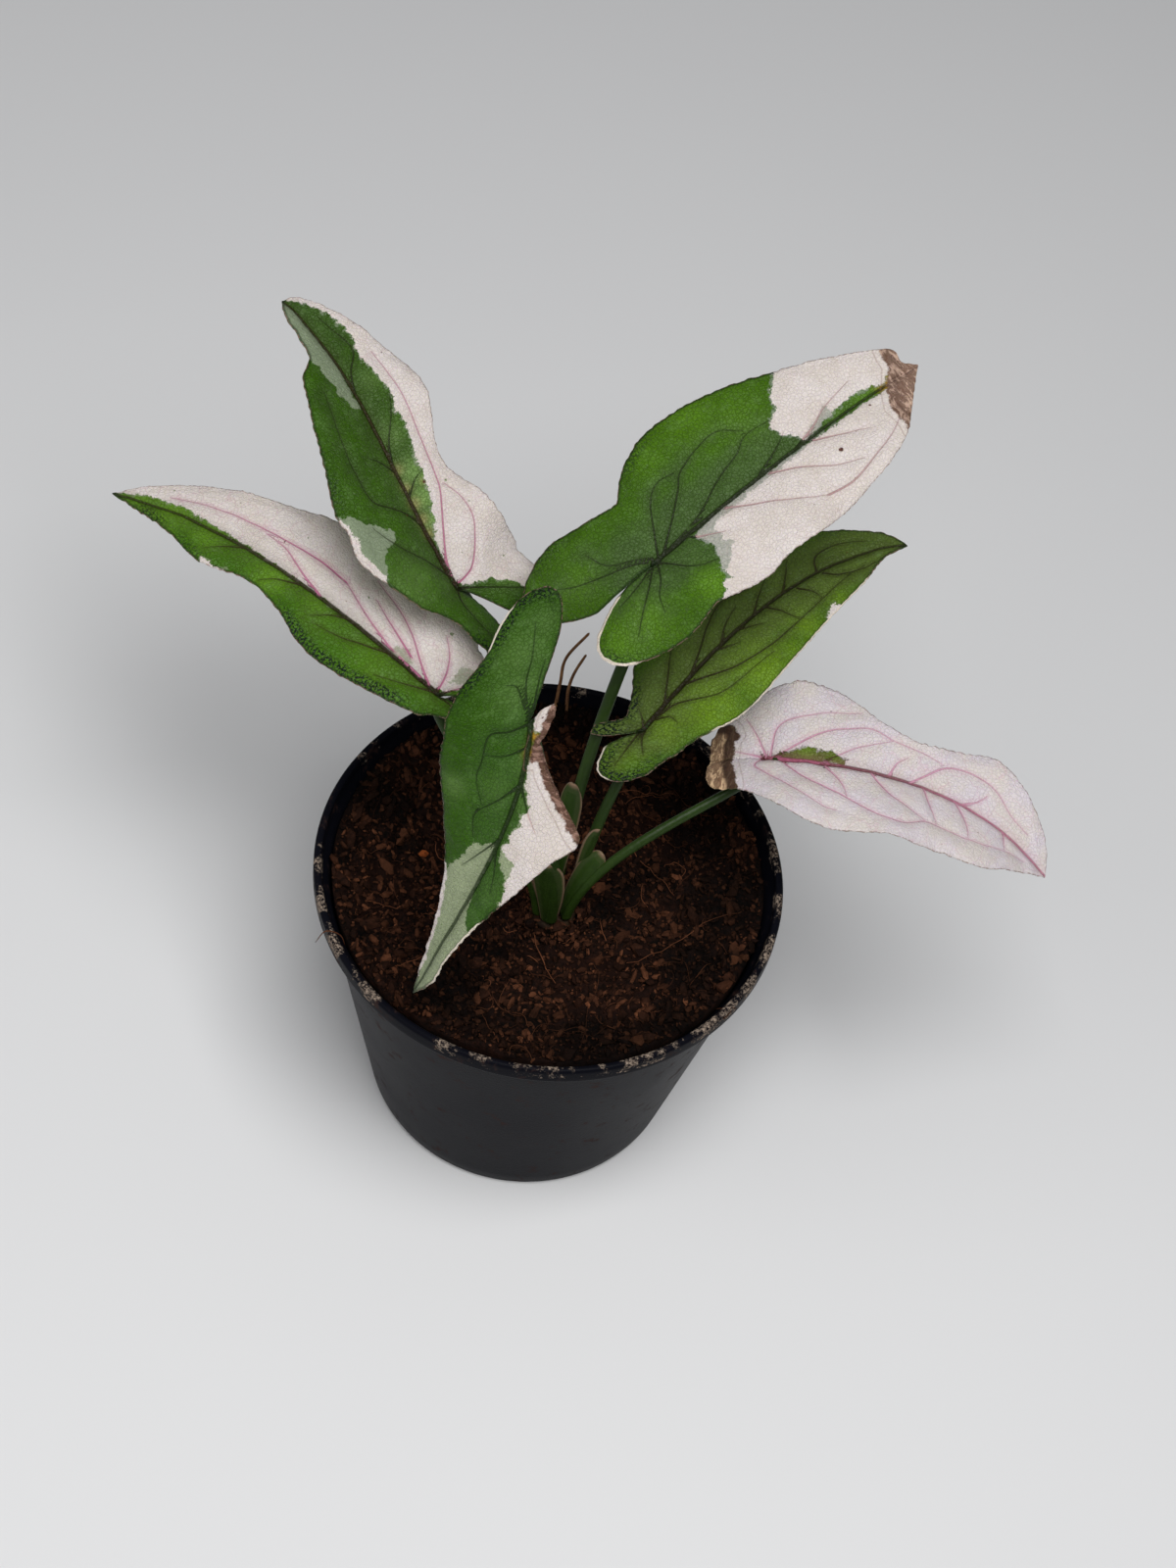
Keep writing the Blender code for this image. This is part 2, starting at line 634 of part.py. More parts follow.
# A leaf grew as one piece, so its blade and stalk are joined in one solid
def build_leaf(name, leaf):
    blade = build_blade(name, leaf)
    stalk = build_stalk(name, leaf)
    join = blade.modifiers.new("join_stalk", "BOOLEAN")
    join.operation = "UNION"
    join.solver = "EXACT"
    join.object = stalk
    graph = bpy.context.evaluated_depsgraph_get()
    mesh = bpy.data.meshes.new_from_object(blade.evaluated_get(graph))
    mesh.name = "leaf_" + name
    obj = bpy.data.objects.new("leaf_" + name, mesh)
    bpy.context.scene.collection.objects.link(obj)
    mesh.materials.clear()
    mesh.materials.append(make_material("leaf_" + name, leaf["colour"], 0.45))
    bpy.data.objects.remove(blade, do_unlink=True)
    bpy.data.objects.remove(stalk, do_unlink=True)
    return obj


def build_root(name, points):
    curve = even_points(smooth_curve(points, 6), 9)
    verts = []
    faces = []
    sides = 7
    for k, centre in enumerate(curve):
        before = curve[max(k - 1, 0)]
        after = curve[min(k + 1, len(curve) - 1)]
        ahead = (after - before).normalized()
        if k == 0:
            ahead = Vector((0.0, 0.0, 1.0))
        across = ahead.cross(Vector((0.0, 1.0, 0.0))).normalized()
        outward = ahead.cross(across)
        radius = ROOT_RADIUS * (1.0 - 0.3 * k / (len(curve) - 1))
        for j in range(sides):
            angle = 2 * math.pi * j / sides
            verts.append(centre * MM + (across * math.cos(angle) + outward * math.sin(angle)) * radius)
    for k in range(len(curve) - 1):
        for j in range(sides):
            a = k * sides + j
            b = k * sides + (j + 1) % sides
            faces.append((a, b, b + sides, a + sides))
    faces.append(tuple(range(sides))[::-1])
    faces.append(tuple((len(curve) - 1) * sides + j for j in range(sides)))
    material = make_material("root_" + name, (0.20, 0.10, 0.05), 0.8)
    return add_object("aerial_root_" + name, verts, faces, material)


def build_all():
    clear_scene()
    build_pot()
    build_soil()
    build_crown()
    for name, leaf in LEAVES.items():
        build_leaf(name, leaf)
    for name, points in ROOTS.items():
        build_root(name, points)


build_all()
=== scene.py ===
# %% [markdown]
# # A variegated arrowhead plant in its pot
#
# The object is a young arrowhead plant: six arrow-shaped leaves, each on its own
# stalk, in coir in a black nursery pot. The CAD frame holds every piece as a plain
# closed solid. This lesson dresses that frame: it keeps every size and place, and
# adds fine shapes, veins, colour sectors, crumbs and fibres.
#
# Lengths are in metres in Blender. Most numbers below are in millimetres, which
# suit a leaf better, and MM turns them into metres at the last moment.

import math

import bmesh
import bpy
import numpy as np
from mathutils import Matrix, Vector, noise


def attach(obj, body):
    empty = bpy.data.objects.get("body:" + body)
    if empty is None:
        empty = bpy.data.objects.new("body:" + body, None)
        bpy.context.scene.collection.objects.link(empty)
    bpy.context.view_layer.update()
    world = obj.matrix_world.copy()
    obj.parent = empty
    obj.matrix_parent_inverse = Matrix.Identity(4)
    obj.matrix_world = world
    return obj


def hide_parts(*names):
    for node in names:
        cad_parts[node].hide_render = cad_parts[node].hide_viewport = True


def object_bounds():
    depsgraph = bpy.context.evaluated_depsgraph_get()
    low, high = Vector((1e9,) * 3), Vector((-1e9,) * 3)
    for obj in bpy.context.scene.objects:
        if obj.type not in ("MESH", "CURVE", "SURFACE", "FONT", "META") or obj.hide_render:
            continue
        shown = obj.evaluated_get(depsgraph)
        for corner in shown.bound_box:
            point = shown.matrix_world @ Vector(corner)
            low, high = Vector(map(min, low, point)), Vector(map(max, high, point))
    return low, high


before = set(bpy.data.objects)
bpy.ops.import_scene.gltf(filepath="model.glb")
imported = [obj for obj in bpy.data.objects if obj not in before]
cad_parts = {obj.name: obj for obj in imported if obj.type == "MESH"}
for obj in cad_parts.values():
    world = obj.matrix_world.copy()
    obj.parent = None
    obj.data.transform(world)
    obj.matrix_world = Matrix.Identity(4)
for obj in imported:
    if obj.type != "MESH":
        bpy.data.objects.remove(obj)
CAD_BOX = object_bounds()
MM = 0.001
SEED = 41
print("frame nodes:", ", ".join(sorted(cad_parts)))

# %% [markdown]
# ## The camera
#
# The plant is seen from the front and from well above, a little turned. The lens
# and the distance set how much nearer leaves grow. A turned camera is built from
# three directions at right angles: its right, its up, and the way back from the
# target to the lens.

# %% Place the camera
CAMERA_TARGET = (4.85, 23.58, 76.0)
CAMERA_DISTANCE = 650.0
CAMERA_RAISE = math.radians(53.47)
CAMERA_ROLL = math.radians(9.85)
CAMERA_LENS = 68.88


def place_camera():
    back = Vector((0, -math.cos(CAMERA_RAISE), math.sin(CAMERA_RAISE)))
    level = Vector((0, 0, 1)).cross(back).normalized()
    rise = back.cross(level)
    right = math.cos(CAMERA_ROLL) * level + math.sin(CAMERA_ROLL) * rise
    up = back.cross(right)
    data = bpy.data.cameras.new("camera")
    data.sensor_fit = "VERTICAL"
    data.sensor_height = 36.0
    data.lens = CAMERA_LENS
    data.clip_start = 0.01
    camera = bpy.data.objects.new("camera", data)
    place = (Vector(CAMERA_TARGET) + CAMERA_DISTANCE * back) * MM
    axes = Matrix((right, up, back)).transposed().to_4x4()
    camera.matrix_world = Matrix.Translation(place) @ axes
    bpy.context.scene.collection.objects.link(camera)
    bpy.context.scene.camera = camera
    return camera


print("camera stands at", [round(v, 3) for v in place_camera().matrix_world.translation])

# %% [markdown]
# ## Writing materials in short steps
#
# A material is a small graph of nodes. Adding each node and each link by hand takes
# many lines, so a few helpers do it: each one adds a node, fills its sockets with
# numbers or with links, and gives back its output. A recipe then reads like a sum.
# Colours are written as screen values from 0 to 255 and turned into light by tint.
# The plain colour view is chosen, so that a colour on the screen is the one meant.


# %% Helpers for node graphs
bpy.context.scene.view_settings.view_transform = "Standard"


def tint(colour):
    shares = [c / 255.0 for c in colour]
    return tuple(c / 12.92 if c < 0.04045 else ((c + 0.055) / 1.055) ** 2.4 for c in shares)


def add_node(tree, kind, inputs, **settings):
    made = tree.nodes.new("ShaderNode" + kind)
    for name, value in settings.items():
        setattr(made, name, value)
    for name, value in inputs.items():
        socket = made.inputs[name]
        if isinstance(value, bpy.types.NodeSocket):
            tree.links.new(value, socket)
        elif isinstance(value, tuple) and socket.type == "RGBA":
            socket.default_value = (*value[:3], 1.0)
        else:
            socket.default_value = value
    return made


def maths(tree, operation, a, b=0.0, clamp=False):
    made = add_node(tree, "Math", {0: a, 1: b}, operation=operation, use_clamp=clamp)
    return made.outputs[0]


def times(tree, a, b, clamp=False):
    return maths(tree, "MULTIPLY", a, b, clamp)


def plus(tree, a, b, clamp=False):
    return maths(tree, "ADD", a, b, clamp)


def fade(tree, value, low, high):
    made = add_node(
        tree, "MapRange", {"Value": value, "From Min": low, "From Max": high},
        interpolation_type="SMOOTHSTEP",
    )
    return made.outputs[0]


def blend(tree, share, a, b, way="MIX"):
    made = add_node(tree, "Mix", {0: share, 6: a, 7: b}, data_type="RGBA", blend_type=way)
    return made.outputs[2]


def grain(tree, place, scale, detail=2.0, rough=0.5, twist=0.0):
    made = add_node(
        tree, "TexNoise",
        {"Vector": place, "Scale": scale, "Detail": detail, "Roughness": rough,
         "Distortion": twist},
    )
    return made.outputs["Fac"]


def mesh_value(tree, name, vector=False):
    made = tree.nodes.new("ShaderNodeAttribute")
    made.attribute_name = name
    return made.outputs["Vector" if vector else "Fac"]


def object_place(tree):
    return tree.nodes.new("ShaderNodeTexCoord").outputs["Object"]


def new_material(name):
    material = bpy.data.materials.new(name)
    material.use_nodes = True
    tree = material.node_tree
    return material, tree, tree.nodes["Principled BSDF"]


print("node helpers ready")

# %% [markdown]
# ## Effects that several finishes share
#
# The border of a colour sector on a leaf is never a clean line: cells switch colour
# one by one, so it is ragged. One group takes the distance to a drawn border, shifts
# it with coarse and fine noise, and gives a mask. A second group gives small specks,
# and a third the bump of fine grain. Groups hold only values and normals.


# %% Shared node groups
def new_group(name, inputs, outputs):
    tree = bpy.data.node_groups.new(name, "ShaderNodeTree")
    for label, kind, value in inputs:
        socket = tree.interface.new_socket(label, in_out="INPUT", socket_type="NodeSocket" + kind)
        if value is not None:
            socket.default_value = value
    for label, kind in outputs:
        tree.interface.new_socket(label, in_out="OUTPUT", socket_type="NodeSocket" + kind)
    return tree, tree.nodes.new("NodeGroupInput").outputs, tree.nodes.new("NodeGroupOutput").inputs


def ragged_group():
    tree, given, result = new_group(
        "ragged border",
        [("Distance", "Float", 0.0), ("Place", "Vector", None), ("Ragged", "Float", 1.0),
         ("Soft", "Float", 0.12)],
        [("Mask", "Float")],
    )
    coarse = maths(tree, "SUBTRACT", grain(tree, given["Place"], 0.55, 3.0, 0.6), 0.5)
    fine = maths(tree, "SUBTRACT", grain(tree, given["Place"], 2.6, 2.0, 0.6), 0.5)
    shift = plus(tree, times(tree, coarse, 1.9), times(tree, fine, 0.8))
    shifted = plus(tree, given["Distance"], times(tree, shift, given["Ragged"]))
    low = times(tree, given["Soft"], -1.0)
    tree.links.new(fade(tree, shifted, low, given["Soft"]), result["Mask"])
    return tree


def speck_group():
    tree, given, result = new_group(
        "specks",
        [("Place", "Vector", None), ("Scale", "Float", 0.5), ("Size", "Float", 0.1),
         ("Share", "Float", 0.3)],
        [("Mask", "Float")],
    )
    cells = add_node(
        tree, "TexVoronoi", {"Vector": given["Place"], "Scale": given["Scale"]},
    )
    dot = maths(tree, "LESS_THAN", cells.outputs["Distance"], given["Size"])
    chosen = add_node(tree, "SeparateColor", {0: cells.outputs["Color"]})
    some = maths(tree, "LESS_THAN", chosen.outputs[0], given["Share"])
    tree.links.new(times(tree, dot, some), result["Mask"])
    return tree


def grain_group():
    tree, given, result = new_group(
        "fine grain",
        [("Place", "Vector", None), ("Scale", "Float", 1.0), ("Depth", "Float", 0.1)],
        [("Value", "Float"), ("Normal", "Vector")],
    )
    value = grain(tree, given["Place"], given["Scale"], 4.0, 0.6)
    bump = add_node(tree, "Bump", {"Height": value, "Strength": given["Depth"], "Distance": 0.0004})
    tree.links.new(value, result["Value"])
    tree.links.new(bump.outputs["Normal"], result["Normal"])
    return tree


RAGGED = ragged_group()
SPECKS = speck_group()
GRAIN = grain_group()


def use_group(tree, group, inputs):
    made = add_node(tree, "Group", {}, node_tree=group)
    for name, value in inputs.items():
        if isinstance(value, bpy.types.NodeSocket):
            tree.links.new(value, made.inputs[name])
        else:
            made.inputs[name].default_value = value
    return made.outputs


print("shared groups:", ", ".join(g.name for g in (RAGGED, SPECKS, GRAIN)))

# %% [markdown]
# ## Floor and light
#
# The plant stands on a plain pale floor. The light is soft: one wide lamp above and
# in front, a weaker one from the left, and a low grey sky. Wide lamps give
# broad, gentle sheens on leaves and a soft shadow under them.


# %% Floor, lamps and sky
def build_floor():
    bm = bmesh.new()
    bmesh.ops.create_grid(bm, x_segments=2, y_segments=2, size=1.5)
    mesh = bpy.data.meshes.new("floor")
    bm.to_mesh(mesh)
    bm.free()
    floor = bpy.data.objects.new("floor", mesh)
    bpy.context.scene.collection.objects.link(floor)
    material, tree, shader = new_material("floor_paper")
    mottle = grain(tree, object_place(tree), 3.0, 3.0)
    tone = blend(tree, mottle, (0.74, 0.74, 0.75), (0.79, 0.79, 0.79))
    tree.links.new(tone, shader.inputs["Base Color"])
    shader.inputs["Roughness"].default_value = 0.9
    mesh.materials.append(material)
    return floor


def add_lamp(name, place, power, size, target=(0.0, 0.0, 0.1)):
    data = bpy.data.lights.new(name, "AREA")
    data.energy = power
    data.size = size
    lamp = bpy.data.objects.new(name, data)
    lamp.location = place
    aim = Vector(target) - Vector(place)
    lamp.rotation_euler = aim.to_track_quat("-Z", "Y").to_euler()
    bpy.context.scene.collection.objects.link(lamp)


def light_sky(strength):
    world = bpy.data.worlds.new("studio")
    bpy.context.scene.world = world
    world.use_nodes = True
    background = world.node_tree.nodes["Background"]
    background.inputs["Color"].default_value = (0.95, 0.97, 1.0, 1.0)
    background.inputs["Strength"].default_value = strength


# Place and width in metres, power in watts
LAMPS = {
    "key": dict(place=(0.12, -0.28, 0.86), power=6.1, size=0.42),
    "fill": dict(place=(-0.6, -0.4, 0.5), power=1.9, size=0.7),
}
SKY_STRENGTH = 0.16

build_floor()
for lamp_name, lamp in LAMPS.items():
    add_lamp(lamp_name, **lamp)
light_sky(SKY_STRENGTH)
print("three sources of light")

# %% [markdown]
# ## The form of each leaf
#
# A leaf is drawn flat first, as (outwards, forwards) points in millimetres for each
# half, and then bent into its pose. A real leaf hardly stretches, so this keeps its
# sizes true. The numbers are those of the CAD part: where the stalk meets the blade,
# the heading and pitch of the midrib, the fold and curl of each half, the droop of
# the rear lobes and the wave of the margin.

# %% Leaf forms, in millimetres and degrees
LEAVES = {
    "back_left": dict(
        attach=(-27.4, 16.7, 142.0), length=68.5,
        heading=(141.5, -53.0, 59.5), pitch=(32.5, -22.0),
        fold=(20.0, 13.0), curl=(-19.0, -17.5), lobe_drop=(10.0, 15.5),
        lobe_turn=28.0, ripple=((0.4, 24.0, -22.0), (2.2, 25.0, -85.0)),
        main=(
            ((0, 68.5), (2.6, 65.5), (3.6, 60), (5.3, 54), (9.4, 50), (12.3, 40.5), (15.2, 29.5),
             (16.9, 21.8), (16.4, 17.5), (17.2, 12), (13, 4)),
            ((0, 68.5), (2.8, 67.2), (6.2, 61), (10.4, 51.5), (12.9, 43.5), (12.9, 37.5),
             (10.6, 29.5), (10.2, 23.5), (13.6, 16.2), (15, 10), (17.3, 1.5)),
        ),
        lobe=(
            ((13, 4), (9.3, -2.4), (8.6, -6), (9.8, -10.5), (9.8, -14), (7, -15.5)),
            ((17.3, 1.5), (15.5, -4), (14, -9), (11.5, -12.5), (8, -13.5)),
        ),
        sinus=(
            ((7, -15.5), (3, -12), (0.3, -6), (0, 0)),
            ((8, -13.5), (3, -10.5), (1.3, -4.5), (0, 0)),
        ),
        foot=150.0, rise=34.0, reach=19.0, arrive=(0.59, 0.63, -0.52),
    ),
    "left": dict(
        attach=(-27.5, 0.4, 128.0), length=82.0,
        heading=(153.0, -13.5, 26.5), pitch=(16.5, -28.5),
        fold=(-2.5, 15.5), curl=(-28.0, -13.5), lobe_drop=(20.0, 18.0),
        lobe_turn=28.0, ripple=((1.6, 24.0, -98.0), (0.7, 26.0, -18.0)),
        main=(
            ((0, 82), (2.1, 75.5), (4.6, 66), (7.5, 57.5), (7, 51.5), (5.8, 44.5), (7.5, 36),
             (10.1, 29), (10.9, 21), (9.7, 12.5), (7, 3)),
            ((0, 82), (3.3, 76.4), (6.9, 68.6), (10.1, 59.6), (13.1, 49.6), (15.2, 41.5),
             (17.2, 30), (17.5, 17.5), (15, 3)),
        ),
        lobe=(
            ((7, 3), (4.9, -3.5), (6, -8), (6.3, -11), (4.6, -12.8)),
            ((15, 3), (12, -1.5), (10, -4.5), (7.5, -7), (5, -8)),
        ),
        sinus=(
            ((4.6, -12.8), (2.4, -9), (0.8, -4), (0, 0)),
            ((5, -8), (2.2, -6.5), (0.9, -3.2), (0, 0)),
        ),
        foot=210.0, rise=26.0, reach=13.0, arrive=(0.9, 0.35, 0.0),
    ),
    "back_right": dict(
        attach=(10.3, 16.4, 160.0), length=65.5,
        heading=(45.0, 4.1, -8.0), pitch=(24.5, -10.8),
        fold=(15.0, 6.5), curl=(-13.0, -25.0), lobe_drop=(31.0, 17.5),
        lobe_turn=-3.0, ripple=((0.3, 28.0, 0.0), (1.4, 24.0, 82.0)),
        main=(
            ((0, 65.5), (2.4, 63.3), (5.8, 63), (10, 55.2), (14.6, 45), (18, 35.5), (21.6, 25),
             (22, 15.5), (18.9, 7.6), (14.2, 2)),
            ((0, 65.5), (2.5, 63), (7.8, 58), (11.3, 54.3), (14.4, 47.6), (15.8, 40.5), (17.1, 30),
             (16.6, 20), (17.1, 14.5), (15, 3.5)),
        ),
        lobe=(
            ((14.2, 2), (14.9, -3), (16.9, -12), (16.2, -18.8), (14, -23), (11, -25)),
            ((15, 3.5), (16.6, -3), (16, -9), (13.7, -16), (11.5, -18.8), (8.5, -20)),
        ),
        sinus=(
            ((11, -25), (8, -24.5), (3.4, -20), (0.4, -15), (0.05, -9), (0.03, -4), (0, 0)),
            ((8.5, -20), (6, -19.4), (3.8, -17), (1.6, -12), (0.5, -8.5), (0.05, -4), (0, 0)),
        ),
        foot=90.0, rise=52.0, reach=14.0, arrive=(0.9, 0.35, 0.0),
    ),
    "front": dict(
        attach=(-7.9, -16.2, 146.0), length=66.0,
        heading=(280.0, -110.5, 45.0), pitch=(-43.0, -30.0),
        fold=(10.0, 5.5), curl=(-18.0, -21.0), lobe_drop=(10.0, 9.0),
        lobe_turn=-21.0, ripple=((1.6, 22.0, -4.0), (0.3, 24.0, 5.0)),
        main=(
            ((0, 66), (2.8, 59.5), (3.4, 50), (4.9, 41), (8.4, 30.5), (11.4, 23), (14.6, 18.4),
             (11.4, 15), (6, 10.6)),
            ((0, 66), (2.2, 58.5), (4.4, 47.2), (8, 36.5), (13, 25), (16.3, 14.5), (16.3, 3)),
        ),
        lobe=(
            ((6, 10.6), (2.1, 5), (3.4, 1.5), (4, -1.5), (3, -3.8)),
            ((16.3, 3), (16, -5.5), (13.9, -11.5), (13.5, -18), (12.2, -22.6), (10.2, -25),
             (7.5, -26)),
        ),
        sinus=(
            ((3, -3.8), (1.2, -2.6), (0.5, -1.2), (0, 0)),
            ((7.5, -26), (5.2, -25), (3.2, -22.2), (1.6, -17), (0.8, -8), (0, 0)),
        ),
        foot=270.0, rise=34.0, reach=10.0, arrive=(0.9, 0.35, 0.0),
    ),
    "right": dict(
        attach=(13.8, 2.7, 125.0), length=71.0,
        heading=(57.0, 7.0, -43.5), pitch=(21.0, -20.0),
        fold=(8.5, 7.0), curl=(-20.5, -23.5), lobe_drop=(18.0, 9.0),
        lobe_turn=-32.0, ripple=((0.9, 24.0, -7.0), (1.1, 24.0, 6.0)),
        main=(
            ((0, 71), (4.5, 65.5), (8.5, 55.5), (12.5, 43.5), (14.5, 29), (13, 14.5), (6, 3.5)),
            ((0, 71), (3.3, 63.6), (7.8, 56), (11.1, 43), (13.4, 29), (13.4, 15), (9.7, 4)),
        ),
        lobe=(
            ((6, 3.5), (4.4, -0.5), (5, -3), (5.2, -5), (3.6, -7)),
            ((9.7, 4), (8.9, -1), (10.8, -7), (10.5, -10.4), (9.4, -12), (7.5, -12.5)),
        ),
        sinus=(
            ((3.6, -7), (1.8, -5.6), (0.5, -2.6), (0, 0)),
            ((7.5, -12.5), (5.6, -12), (3, -9.8), (0.3, -6.3), (0, 0)),
        ),
        foot=30.0, rise=36.0, reach=17.0, arrive=(0.6, 0.7, 0.0),
    ),
    "low_right": dict(
        attach=(39.8, 11.0, 112.0), length=64.0,
        heading=(-4.5, 16.5, -48.0), pitch=(15.0, -42.5),
        fold=(19.0, 15.0), curl=(-9.0, -19.5), lobe_drop=(29.0, 20.0),
        lobe_turn=4.0, ripple=((1.5, 24.0, 31.0), (1.1, 24.0, 10.0)),
        main=(
            ((0, 64), (4.9, 59.2), (10.1, 50.6), (13, 43.4), (10.8, 38), (9, 30), (11.4, 22),
             (16.3, 14.3), (17.1, 7), (16.2, 0.5)),
            ((0, 64), (4.7, 59.5), (11.9, 51), (13.8, 42.5), (15.8, 32.5), (16.6, 21),
             (16.3, 10.5), (12.6, 3)),
        ),
        lobe=(
            ((16.2, 0.5), (13.6, -4.6), (10.4, -7.8), (7.8, -10.4), (5.4, -12)),
            ((12.6, 3), (9.4, -3), (8.8, -6.5), (8.2, -9.5), (5.4, -11.4)),
        ),
        sinus=(
            ((5.4, -12), (2.6, -12), (0.4, -11.8), (0.1, -11), (0.06, -5), (0, 0)),
            ((5.4, -11.4), (2.6, -11.6), (0.4, -11.5), (0.1, -10.8), (0.06, -5), (0, 0)),
        ),
        foot=330.0, rise=30.0, reach=16.0, arrive=(0.8, 0.5, 0.0),
    ),
}
for name, leaf in LEAVES.items():
    print(name, "is", leaf["length"], "mm from stalk to tip")

# %% [markdown]
# ## The colours of each leaf
#
# Each leaf carries sectors of cream white, sage and green, as a variegated plant
# does. They are drawn as short outlines on the flat leaf, in millimetres, with the
# left half at negative x. White beats sage, and dry brown beats both. Lime marks
# are soft round spots of (x, y, radius, strength). Each vein is a few points from
# the midrib outwards. A vein on white turns pink later, and one on green dark.

